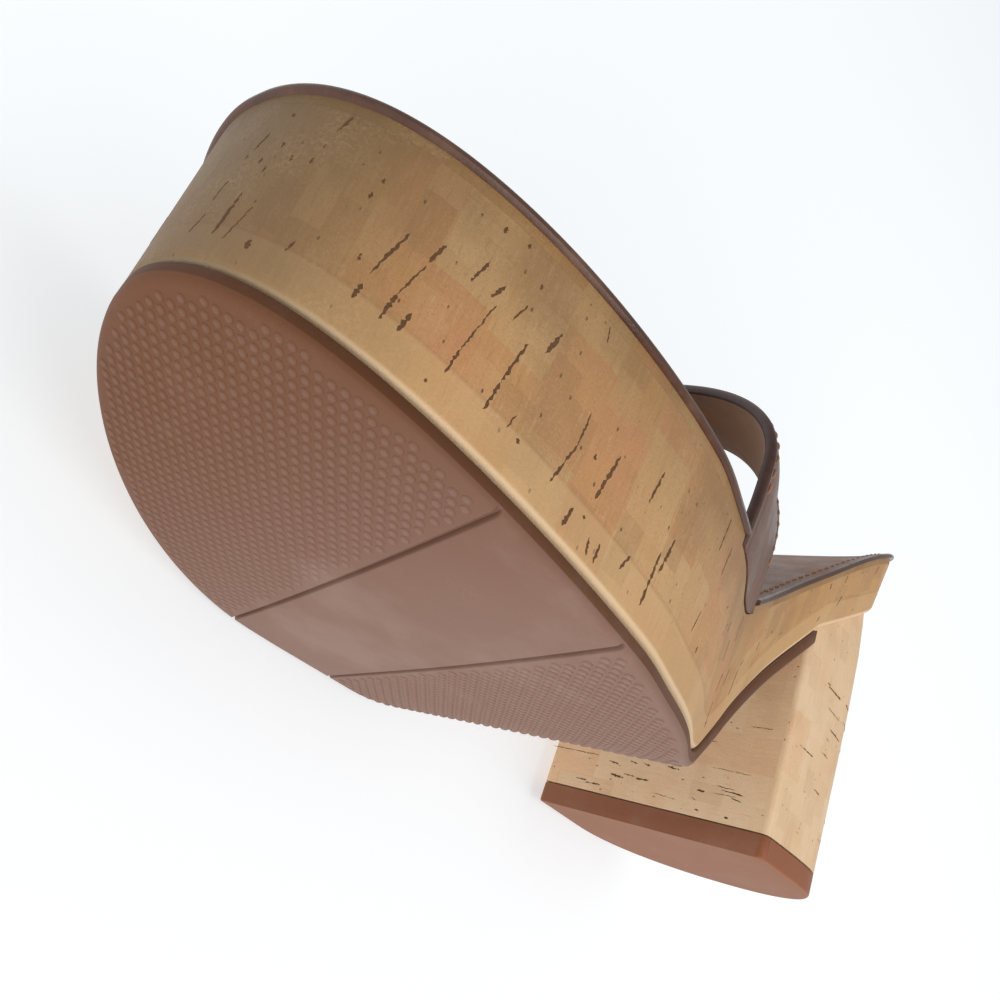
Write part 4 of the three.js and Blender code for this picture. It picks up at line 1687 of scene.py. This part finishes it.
def group(name: str, inputs: dict[str, object], outputs: dict[str, str]) -> GroupParts:
    """Makes an empty node group with named sockets.

    Args:
        name: the group's name.
        inputs: each input's name and default; None stands for a vector.
        outputs: each output's name and socket kind.

    Returns:
        The tree, its board, and its input and output nodes.
    """
    tree = bpy.data.node_groups.new(name, "ShaderNodeTree")
    for title, default in inputs.items():
        kind = "NodeSocketVector" if default is None else (
            "NodeSocketColor" if isinstance(default, tuple) else "NodeSocketFloat")
        socket = tree.interface.new_socket(title, in_out="INPUT", socket_type=kind)
        if isinstance(default, tuple):
            socket.default_value = (*default, 1.0)
        elif default is not None:
            socket.default_value = default
    for title, kind in outputs.items():
        tree.interface.new_socket(title, in_out="OUTPUT", socket_type=kind)
    board = Board(tree)
    return tree, board, board.add("NodeGroupInput"), board.add("NodeGroupOutput")


class Effects:
    """The shader node groups that more than one finish uses."""

    def __init__(self) -> None:
        """Builds each group once."""
        self.mottle = self._mottle()
        self.grain = self._grain()
        self.cork = self._cork()
        self.dust = self._dust()

    def _mottle(self) -> Tree:
        """Soft uneven patches: a colour varied towards a lighter and a darker one.

        Returns:
            The group.
        """
        tree, board, source, sink = group(
            "Soft mottling",
            {"Vector": None, "Color": (0.5, 0.5, 0.5), "Light": (0.6, 0.6, 0.6), "Dark": (0.4, 0.4, 0.4),
             "Scale": 0.1, "Amount": 0.5},
            {"Color": "NodeSocketColor", "Mask": "NodeSocketFloat"},
        )
        vector, color, light, dark, scale, amount = source.outputs[:6]
        wide = board.add("ShaderNodeTexNoise", Vector=vector, Scale=scale, Detail=5.0, Roughness=0.6)
        lighter = board.math("MULTIPLY", board.ramp(wide.outputs[0], 0.5, 0.72), amount)
        darker = board.math("MULTIPLY", board.ramp(wide.outputs[0], 0.5, 0.28), amount)
        board.put(sink, "Color", board.blend(darker, board.blend(lighter, color, light), dark))
        board.put(sink, "Mask", wide.outputs[0])
        return tree

    def _grain(self) -> Tree:
        """Fine pebbled grain of leather or moulded rubber, as a height.

        Returns:
            The group.
        """
        tree, board, source, sink = group(
            "Fine grain", {"Vector": None, "Scale": 1.0}, {"Height": "NodeSocketFloat"}
        )
        vector, scale = source.outputs[:2]
        cells = board.add("ShaderNodeTexVoronoi", feature="SMOOTH_F1", Vector=vector, Scale=scale)
        fine = board.add("ShaderNodeTexNoise", Vector=vector, Scale=board.math("MULTIPLY", scale, 2.3),
                         Detail=3.0)
        pebbles = board.math("MULTIPLY", cells.outputs[0], -0.6)
        board.put(sink, "Height", board.math("ADD", pebbles, fine.outputs[0]))
        return tree

    def _cork(self) -> Tree:
        """Cork sheet: pieced tiles of different tints, fine grain, pale flecks and small pits.

        Returns:
            The group.
        """
        tree, board, source, sink = group(
            "Cork sheet",
            {"Vector": None, "Base": (0.5, 0.35, 0.2), "Warm": (0.55, 0.33, 0.2), "Pale": (0.6, 0.45, 0.3),
             "Dull": (0.4, 0.33, 0.2), "Pit": (0.1, 0.06, 0.03)},
            {"Color": "NodeSocketColor", "Height": "NodeSocketFloat"},
        )
        vector, base, warm, pale, dull, pit = source.outputs[:6]
        wobble = board.add("ShaderNodeTexNoise", Vector=vector, Scale=0.35, Detail=3.0)
        shake = board.add("ShaderNodeVectorMath", operation="MULTIPLY_ADD")
        board.put(shake, 0, wobble.outputs[1])
        shake.inputs[1].default_value = (0.5, 0.9, 0.0)
        board.put(shake, 2, vector)
        flat = board.axes(shake.outputs[0])
        turned = board.add("ShaderNodeCombineXYZ")
        board.put(turned, 0, flat[1])
        board.put(turned, 1, flat[0])
        tone = self._tiles(board, turned.outputs[0], 15.0, 9.0, 0.37)
        fleck = self._tiles(board, turned.outputs[0], 8.5, 4.6, 0.61)
        patch = board.add("ShaderNodeTexNoise", Vector=vector, Scale=0.06, Detail=2.0)
        streaky = board.add("ShaderNodeTexNoise", Vector=board.scaled(vector, (1.5, 0.22, 0.0)), Scale=1.0,
                            Detail=6.0, Roughness=0.7)
        fine = board.add("ShaderNodeTexNoise", Vector=vector, Scale=2.6, Detail=5.0, Roughness=0.75)
        patchy, streaked, grained = patch.outputs[0], streaky.outputs[0], fine.outputs[0]
        color = base
        for mask, low, high, most, tint in (
            (tone, 0.45, 1.0, 0.65, warm), (tone, 0.42, 0.0, 0.5, pale),
            (fleck, 0.62, 1.0, 0.38, dull), (fleck, 0.38, 0.0, 0.28, pale),
            (patchy, 0.5, 0.75, 0.6, dull), (patchy, 0.48, 0.3, 0.5, warm),
            (streaked, 0.52, 0.7, 0.45, pale), (streaked, 0.46, 0.3, 0.5, dull),
            (grained, 0.55, 0.7, 0.5, pale), (grained, 0.47, 0.34, 0.5, dull),
        ):
            color = board.blend(board.ramp(mask, low, high, 0.0, most), color, tint)
        spots = board.add("ShaderNodeTexVoronoi", Vector=board.scaled(vector, (0.75, 0.38, 0.0)), Scale=1.0)
        rarely = board.add("ShaderNodeSeparateColor", Color=spots.outputs["Color"])
        near = board.ramp(spots.outputs["Distance"], 0.16, 0.08)
        pits = board.math("MULTIPLY", near, board.ramp(rarely.outputs[0], 0.68, 0.74))
        ragged = board.math("MULTIPLY", pits, board.ramp(fine.outputs[0], 0.38, 0.52))
        board.put(sink, "Color", board.blend(board.math("MULTIPLY", ragged, 0.85), color, pit))
        height = board.math("ADD", board.math("MULTIPLY", streaky.outputs[0], 0.6), fine.outputs[0])
        board.put(sink, "Height", board.math("SUBTRACT", height, ragged))
        return tree

    def _tiles(
        self, board: Board, vector: Socket, length: float, width: float, shift: float
    ) -> Socket:
        """A random tone for each tile of a pieced sheet, sized in millimetres.

        Args:
            board: lays out the nodes.
            vector: the place.
            length: length of a tile.
            width: its width.
            shift: share of a length between rows.

        Returns:
            The tone.
        """
        tiles = board.add("ShaderNodeTexBrick", Vector=vector, Scale=1.0, offset=shift, squash=0.7,
                          squash_frequency=3, offset_frequency=2)
        sizes = {"Brick Width": length, "Row Height": width, "Mortar Size": 0.0, "Bias": 0.0}
        for name, value in sizes.items():
            tiles.inputs[name].default_value = value
        tiles.inputs["Color1"].default_value = (0, 0, 0, 1)
        tiles.inputs["Color2"].default_value = (1, 1, 1, 1)
        return board.add("ShaderNodeRGBToBW", Color=tiles.outputs["Color"]).outputs[0]

    def _dust(self) -> Tree:
        """Fine dust and scuffs that lighten a colour in thin broken patches.

        Returns:
            The group.
        """
        tree, board, source, sink = group(
            "Dust and scuffs",
            {"Vector": None, "Color": (0.5, 0.5, 0.5), "Dust": (0.7, 0.65, 0.6), "Amount": 0.2},
            {"Color": "NodeSocketColor"},
        )
        vector, color, dust, amount = source.outputs[:4]
        wide = board.add("ShaderNodeTexNoise", Vector=vector, Scale=0.08, Detail=4.0)
        fine = board.add("ShaderNodeTexNoise", Vector=vector, Scale=1.4, Detail=6.0, Roughness=0.7)
        patches, specks = board.ramp(wide.outputs[0], 0.42, 0.7), board.ramp(fine.outputs[0], 0.42, 0.66)
        mask = board.math("MULTIPLY", board.math("MULTIPLY", patches, specks), amount)
        board.put(sink, "Color", board.blend(mask, color, dust))
        return tree

    def use(self, board: Board, tree: Tree, **values: object) -> Node:
        """Places a group in a material with its own values."""
        return board.add("ShaderNodeGroup", node_tree=tree, **values)


@dataclass(frozen=True)
class Finish:
    """What every finish shares: its name and its plain surface values."""

    name: str
    roughness: float
    bump: float = 0.2
    specular: float = 0.4

    def start(self) -> tuple[Material, Board, Node, Socket]:
        """Makes the material, with its surface node and millimetre coordinates.

        Returns:
            The material, its board, its surface and the place in millimetres.
        """
        material = bpy.data.materials.new(self.name)
        material.use_nodes = True
        material.node_tree.nodes.clear()
        board = Board(material.node_tree)
        surface = board.add("ShaderNodeBsdfPrincipled", Roughness=self.roughness)
        surface.inputs["Specular IOR Level"].default_value = self.specular
        output = board.add("ShaderNodeOutputMaterial")
        material.node_tree.links.new(surface.outputs[0], output.inputs[0])
        place = board.add("ShaderNodeTexCoord")
        millimetres = board.scaled(place.outputs["Object"], (MM_PER_M, MM_PER_M, MM_PER_M))
        return material, board, surface, millimetres

    def raise_by(
        self, board: Board, surface: Node, height: object, distance: float = 0.0001
    ) -> None:
        """Feeds a height to the surface's normal."""
        bump = board.add("ShaderNodeBump", Strength=self.bump, Distance=distance)
        board.put(bump, "Height", height)
        board.put(surface, "Normal", bump.outputs[0])


@dataclass(frozen=True)
class RubberFinish(Finish):
    """Moulded rubber, with painted shade that darkens it towards the toe, and a painted highlight that
    lightens its nubs' crowns.
    """

    # The toe and rear tones are blended along the shoe as painted shade, darker towards the toe.
    toe: Color = rgb(108, 68, 43)
    rear: Color = rgb(131, 99, 85)
    # Lighter tint: for random lighter patches, and for the painted highlight on the nubs' crowns.
    lighter_patch_and_highlight: Color = (1.0, 0.9, 0.85)
    deep: Color = rgb(70, 40, 28)
    dust: Color = rgb(196, 168, 154)
    toe_shade_to_rear: tuple[float, float] = (-100.0, -35.0)
    # Share of painted highlight on the nubs' crowns.
    crown_highlight_amount: float = 0.0
    dust_amount: float = 0.04

    def make(self, effects: Effects) -> Material:
        """Builds the material.

        Args:
            effects: the shared groups.

        Returns:
            The material.
        """
        material, board, surface, place = self.start()
        # Painted shade: the colour darkens from the rear towards the toe.
        color = board.blend(board.ramp(board.axes(place)[0], *self.toe_shade_to_rear), self.toe, self.rear)
        # A lighter tone, for the random lighter patches and for the crowns' painted highlight.
        light = board.blend(0.25, color, self.lighter_patch_and_highlight)
        dark = board.blend(0.25, color, self.deep)
        patchy = effects.use(board, effects.mottle, Vector=place, Color=color, Light=light, Dark=dark,
                             Scale=0.035, Amount=0.2)
        color = patchy.outputs["Color"]
        # Painted highlight: each nub is lightened towards its crown.
        if self.crown_highlight_amount:
            crown = board.add("ShaderNodeAttribute", attribute_name="crown")
            share = board.math("MULTIPLY", board.ramp(crown.outputs["Fac"], 0.25, 1.0), self.crown_highlight_amount)
            color = board.blend(share, color, light)
        dusty = effects.use(board, effects.dust, Vector=place, Color=color, Dust=self.dust,
                            Amount=self.dust_amount)
        board.put(surface, "Base Color", dusty.outputs["Color"])
        grain = effects.use(board, effects.grain, Vector=place, Scale=1.6)
        self.raise_by(board, surface, grain.outputs["Height"])
        rough = board.ramp(patchy.outputs["Mask"], 0.3, 0.7, self.roughness - 0.08, self.roughness + 0.08)
        board.put(surface, "Roughness", rough)
        return material


@dataclass(frozen=True)
class CorkFinish(Finish):
    """Sealed cork sheet in pieced tiles, laid by the piece's run and height in millimetres, with a painted
    highlight on its rolled lower edge and painted shade up the wall and towards the toe.
    """

    # Painted highlight: a pale band along the rolled lower edge of the cork, up to this height.
    bead_highlight_height: float = 1.6
    bead_highlight_amount: float = 0.85
    strip_height: float = 7.0
    strip_amount: float = 0.42
    # Painted shade: the cork darkens towards the toe between these places.
    toe_shade_place: tuple[float, float] = (-76.0, -111.0)
    toe_shade_amount: float = 0.8
    shade_height: tuple[float, float] = (9.0, 34.0)
    shade_amount: float = 0.42
    base: Color = rgb(190, 142, 88)
    warm: Color = rgb(198, 136, 92)
    pale: Color = rgb(206, 168, 120)
    dull: Color = rgb(156, 116, 76)
    # Colour of the painted highlight on the rolled lower edge.
    bead_highlight: Color = rgb(234, 202, 162)
    strip: Color = rgb(212, 172, 122)
    # Colour of the painted shade, up the wall and towards the toe.
    toe: Color = rgb(98, 77, 46)
    pit: Color = rgb(72, 46, 28)
    dust: Color = rgb(214, 184, 140)
    dust_amount: float = 0.2

    def make(self, effects: Effects) -> Material:
        """Builds the material.

        Args:
            effects: the shared groups.

        Returns:
            The material.
        """
        material, board, surface, place = self.start()
        skin = board.add("ShaderNodeUVMap", uv_map="skin")
        sheet = effects.use(board, effects.cork, Vector=skin.outputs[0], Pit=self.pit, Base=self.base,
                            Warm=self.warm, Pale=self.pale, Dull=self.dull)
        level = board.axes(skin.outputs[0])[1]
        low = board.ramp(level, self.strip_height + 0.2, self.strip_height - 0.2, 0.0, self.strip_amount)
        color = board.blend(low, sheet.outputs["Color"], self.strip)
        off_line = board.math("ABSOLUTE", board.math("SUBTRACT", level, self.strip_height))
        color = board.blend(board.ramp(off_line, 0.45, 0.1, 0.0, self.strip_amount * 0.6), color, self.dull)
        # Painted highlight on the rolled lower edge.
        foot = board.ramp(level, self.bead_highlight_height, self.bead_highlight_height * 0.6, 0.0, self.bead_highlight_amount)
        color = board.blend(foot, color, self.bead_highlight)
        # Painted shade: darker up the wall, then darker towards the toe.
        color = board.blend(board.ramp(level, *self.shade_height, 0.0, self.shade_amount), color, self.toe)
        toe = board.ramp(board.axes(place)[0], *self.toe_shade_place, 0.0, self.toe_shade_amount)
        color = board.blend(toe, color, self.toe)
        dusty = effects.use(board, effects.dust, Vector=skin.outputs[0], Color=color, Dust=self.dust,
                            Amount=self.dust_amount)
        board.put(surface, "Base Color", dusty.outputs["Color"])
        self.raise_by(board, surface, sheet.outputs["Height"], 0.0002)
        rough = board.ramp(sheet.outputs["Height"], 0.4, 1.2, self.roughness + 0.06, self.roughness - 0.08)
        board.put(surface, "Roughness", rough)
        return material


@dataclass(frozen=True)
class LeatherFinish(Finish):
    """Grained leather with soft lighter and darker mottling, and light dust and scuffs."""

    color: Color = rgb(96, 60, 44)
    light: Color = rgb(128, 84, 62)
    dark: Color = rgb(62, 36, 26)
    dust: Color = rgb(190, 165, 145)
    grain_scale: float = 1.1
    dust_amount: float = 0.15

    def make(self, effects: Effects) -> Material:
        """Builds the material.

        Args:
            effects: the shared groups.

        Returns:
            The material.
        """
        material, board, surface, place = self.start()
        patchy = effects.use(board, effects.mottle, Vector=place, Color=self.color, Light=self.light,
                             Dark=self.dark, Scale=0.12, Amount=0.6)
        dusty = effects.use(board, effects.dust, Vector=place, Color=patchy.outputs["Color"],
                            Dust=self.dust, Amount=self.dust_amount)
        board.put(surface, "Base Color", dusty.outputs["Color"])
        grain = effects.use(board, effects.grain, Vector=place, Scale=self.grain_scale)
        self.raise_by(board, surface, grain.outputs["Height"])
        rough = board.ramp(patchy.outputs["Mask"], 0.3, 0.7, self.roughness - 0.1, self.roughness + 0.1)
        board.put(surface, "Roughness", rough)
        return material


@dataclass(frozen=True)
class FlatFinish(Finish):
    """A finish of one tone with fine uneven fibres: thread, painted edge or streak."""

    color: Color = rgb(90, 56, 40)
    scale: float = 2.5

    def make(self, effects: Effects) -> Material:
        """Builds the material.

        Args:
            effects: the shared groups.

        Returns:
            The material.
        """
        material, board, surface, place = self.start()
        light = tuple(min(channel * 1.5, 1.0) for channel in self.color)
        dark = tuple(channel * 0.6 for channel in self.color)
        patchy = effects.use(board, effects.mottle, Vector=place, Color=self.color, Light=light, Dark=dark,
                             Scale=self.scale, Amount=0.7)
        board.put(surface, "Base Color", patchy.outputs["Color"])
        self.raise_by(board, surface, patchy.outputs["Mask"])
        return material


@dataclass
class Studio:
    """The camera at the photograph's viewpoint, a pale floor and soft lights."""

    frame: ShoeFrame
    eye: Triple = (107.3, 113.1, -36.5)
    ahead: Triple = (-0.58989, -0.47170, 0.65539)
    down: Triple = (-0.67845, -0.15061, -0.71904)
    photo_focal: float = 608.0
    photo_centre: tuple[float, float] = (500.0, 475.8)
    aim: tuple[float, float] = (383.0, 618.0)
    lens: float = 32.0
    sensor: float = 36.0
    floor_reach: float = 6.0
    floor_color: Color = (0.6, 0.61, 0.62)
    fill: float = 0.55
    floor_glow: float = 0.505
    overhead_power: float = 4.6
    front_power: float = 7.4
    backdrop: Color = rgb(247, 251, 254)

    def camera(self) -> None:
        """Puts the camera at the photograph's viewpoint, turned to the middle of the one shoe."""
        def squared(down: Array, ahead: Array) -> tuple[Array, Array, Array]:
            """The right, down and ahead directions, square to each other."""
            ahead = ahead / np.linalg.norm(ahead)
            down = down - ahead * down.dot(ahead)
            down /= np.linalg.norm(down)
            return np.cross(down, ahead), down, ahead

        right, down, ahead = squared(np.array(self.down), np.array(self.ahead))
        shift = (np.array(self.aim) - np.array(self.photo_centre)) / self.photo_focal
        right, down, aim = squared(down, ahead + right * shift[0] + down * shift[1])
        data = bpy.data.cameras.new("photo_camera")
        data.lens, data.sensor_width = self.lens, self.sensor
        data.clip_start, data.clip_end = 0.005, 20.0
        camera = bpy.data.objects.new("photo_camera", data)
        bpy.context.scene.collection.objects.link(camera)
        axes = np.column_stack([self.frame.turn @ axis for axis in (right, -down, -aim)])
        matrix = Matrix(axes.tolist()).to_4x4()
        matrix.translation = Vector(self.frame.place(np.array(self.eye)))
        camera.matrix_world = matrix
        bpy.context.scene.camera = camera

    def light(
        self, name: str, toward: Triple, distance: float, size: float, power: float, color: Color
    ) -> None:
        """Adds a soft square light that looks at the shoe from a direction of the model's frame.

        Args:
            name: the light's name.
            toward: the way from the shoe to it.
            distance: metres from the shoe.
            size: its side in metres.
            power: its power in watts.
            color: its tint.
        """
        data = bpy.data.lights.new(name, "AREA")
        data.shape, data.size, data.energy, data.color = "SQUARE", size, power, color
        lamp = bpy.data.objects.new(name, data)
        bpy.context.scene.collection.objects.link(lamp)
        way = Vector(toward).normalized()
        lamp.location = way * distance + Vector((0, 0, 0.05))
        lamp.rotation_mode = "QUATERNION"
        lamp.rotation_quaternion = way.to_track_quat("Z", "Y")

    def build(self) -> None:
        """Makes the camera, the floor, the world and the lights."""
        self.camera()
        scene = bpy.context.scene
        scene.view_settings.view_transform = "Standard"
        mesh = bpy.data.meshes.new("floor")
        reach = self.floor_reach
        mesh.from_pydata([(-reach, -reach, 0), (reach, -reach, 0), (reach, reach, 0), (-reach, reach, 0)],
                         [], [(0, 1, 2, 3)])
        floor = bpy.data.objects.new("floor", mesh)
        scene.collection.objects.link(floor)
        material = bpy.data.materials.new("Pale floor")
        material.use_nodes = True
        surface = material.node_tree.nodes["Principled BSDF"]
        values = {"Base Color": self.floor_color, "Emission Color": self.backdrop, "Roughness": 0.9,
                  "Emission Strength": self.floor_glow, "Specular IOR Level": 0.1}
        for name, value in values.items():
            Board(material.node_tree).put(surface, name, value)
        mesh.materials.append(material)
        world = bpy.data.worlds.new("Pale studio")
        world.use_nodes = True
        scene.world = world
        board = Board(world.node_tree)
        seen = world.node_tree.nodes["Background"]
        seen.inputs[0].default_value = (*self.backdrop, 1.0)
        ray = board.add("ShaderNodeLightPath")
        board.put(seen, 1, board.ramp(ray.outputs["Is Camera Ray"], 0.0, 1.0, self.fill, 1.0))
        self.light("overhead", (0.3, -0.2, 1.0), 1.1, 0.9, self.overhead_power, (1.0, 0.98, 0.95))
        self.light("front", (-0.4, -1.0, 0.2), 1.2, 0.8, self.front_power, (1.0, 0.97, 0.94))


class Palette:
    """Every finish of the sandal, made once from the shared node groups."""

    def __init__(self) -> None:
        """Makes the finishes."""
        effects = Effects()
        # The tread's toe and rear tones carry painted shade, darker towards the toe.
        self.tread = RubberFinish("Tread rubber", 0.6, bump=0.25, specular=0.2).make(effects)
        # The nubs' crowns carry a painted highlight.
        self.nub = RubberFinish("Nub rubber", 0.6, bump=0.2, specular=0.2, crown_highlight_amount=0.12).make(effects)
        # The sole edge's dark tone is partly its edge paint and partly painted shade of the recess under the
        # cork; like the tread, it darkens towards the toe as painted shade.
        self.sole_edge = RubberFinish("Sole edge", 0.6, specular=0.2, toe=rgb(92, 54, 28),
                                      rear=rgb(104, 66, 42)).make(effects)
        self.lift_side = RubberFinish("Lift side", 0.5, specular=0.25, toe=rgb(146, 88, 58),
                                      rear=rgb(146, 88, 58)).make(effects)
        self.lift_tread = RubberFinish("Lift tread", 0.6, specular=0.2, toe=rgb(140, 92, 66),
                                       rear=rgb(140, 92, 66)).make(effects)
        self.cork = CorkFinish("Cork", 0.55, bump=0.5).make(effects)
        # Painted shade: the footbed's cork side is darkened all over, as the top of the platform's wall is,
        # and towards the toe.
        self.upper_cork = CorkFinish("Upper cork in painted shade", 0.55, bump=0.5, bead_highlight_amount=0.0, strip_amount=0.0,
                                     shade_height=(-2.0, -1.0)).make(effects)
        # Painted light: the heel's cork is a paler copy of the platform's cork, standing in for the light on
        # its breast.
        self.heel_cork = CorkFinish("Heel cork with painted light", 0.55, bump=0.5, base=rgb(234, 198, 156),
                                    warm=rgb(230, 184, 142), pale=rgb(240, 214, 178), dull=rgb(208, 172, 132),
                                    bead_highlight_amount=0.0, strip_amount=0.0, toe_shade_amount=0.0,
                                    shade_amount=0.0).make(effects)
        self.streak = FlatFinish("Cork streak", 0.8, color=rgb(98, 67, 40)).make(effects)
        self.rim = LeatherFinish("Rim leather", 0.34, bump=0.3, color=rgb(84, 52, 36), light=rgb(112, 80, 62),
                                 dark=rgb(58, 34, 22), dust_amount=0.06).make(effects)
        self.sock = LeatherFinish("Sock leather", 0.55, bump=0.25, color=rgb(122, 82, 60),
                                  light=rgb(146, 104, 80), dark=rgb(92, 58, 42)).make(effects)
        self.upper = LeatherFinish("Band leather", 0.45, bump=0.35).make(effects)
        self.lining = LeatherFinish("Lining", 0.7, bump=0.15, color=rgb(176, 140, 108),
                                    light=rgb(196, 162, 130), dark=rgb(146, 112, 84)).make(effects)
        self.painted = FlatFinish("Painted edge", 0.4, color=rgb(66, 38, 28), scale=0.8).make(effects)
        self.thread = FlatFinish("Thread", 0.7, color=rgb(150, 112, 84)).make(effects)


class Sandal:
    """Builds each piece of the sandal in its finish."""

    def __init__(self, frame: ShoeFrame) -> None:
        """Sets up the workshop, the finishes and the shape."""
        self.frame = frame
        self.shop = Workshop(frame)
        self.palette = Palette()
        self.shape = SoleShape()

    def underfoot(self) -> None:
        """Builds the outsole with its nubs, the platform and the heel, with their streaks."""
        look = self.palette
        sole = Outsole(self.shape)
        sole.sheet(self.shop, [look.tread, look.sole_edge])
        sole.nubs(self.shop, look.nub)
        platform = Platform(self.shape)
        platform.body(self.shop, [look.cork])
        CorkStreaks(platform).build(self.shop, look.streak)
        heel = Heel(self.shape)
        heel.block(self.shop, [look.heel_cork])
        HeelStreaks(heel).build(self.shop, look.streak)
        heel.lift(self.shop, [look.lift_side, look.lift_tread])

    def upper(self) -> None:
        """Builds the footbed and the band, with their stitches."""
        look = self.palette
        band = VampBand(self.shape)
        band.settle(self.frame)
        footbed = Footbed(self.shape, band)
        footbed.body(self.shop, [look.rim, look.sock, look.upper_cork])
        footbed.stitches(self.shop, look.thread)
        band.shell(self.shop, [look.upper, look.lining, look.painted])
        band.stitches(self.shop, look.thread)


def main() -> None:
    """Builds the sandal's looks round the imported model."""
    logging.basicConfig(level=logging.INFO, format="%(name)s: %(message)s")
    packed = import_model()
    frame = ShoeFrame(packed["record"])
    Studio(frame).build()
    sandal = Sandal(frame)
    sandal.underfoot()
    sandal.upper()


if __name__ == "__main__":
    main()
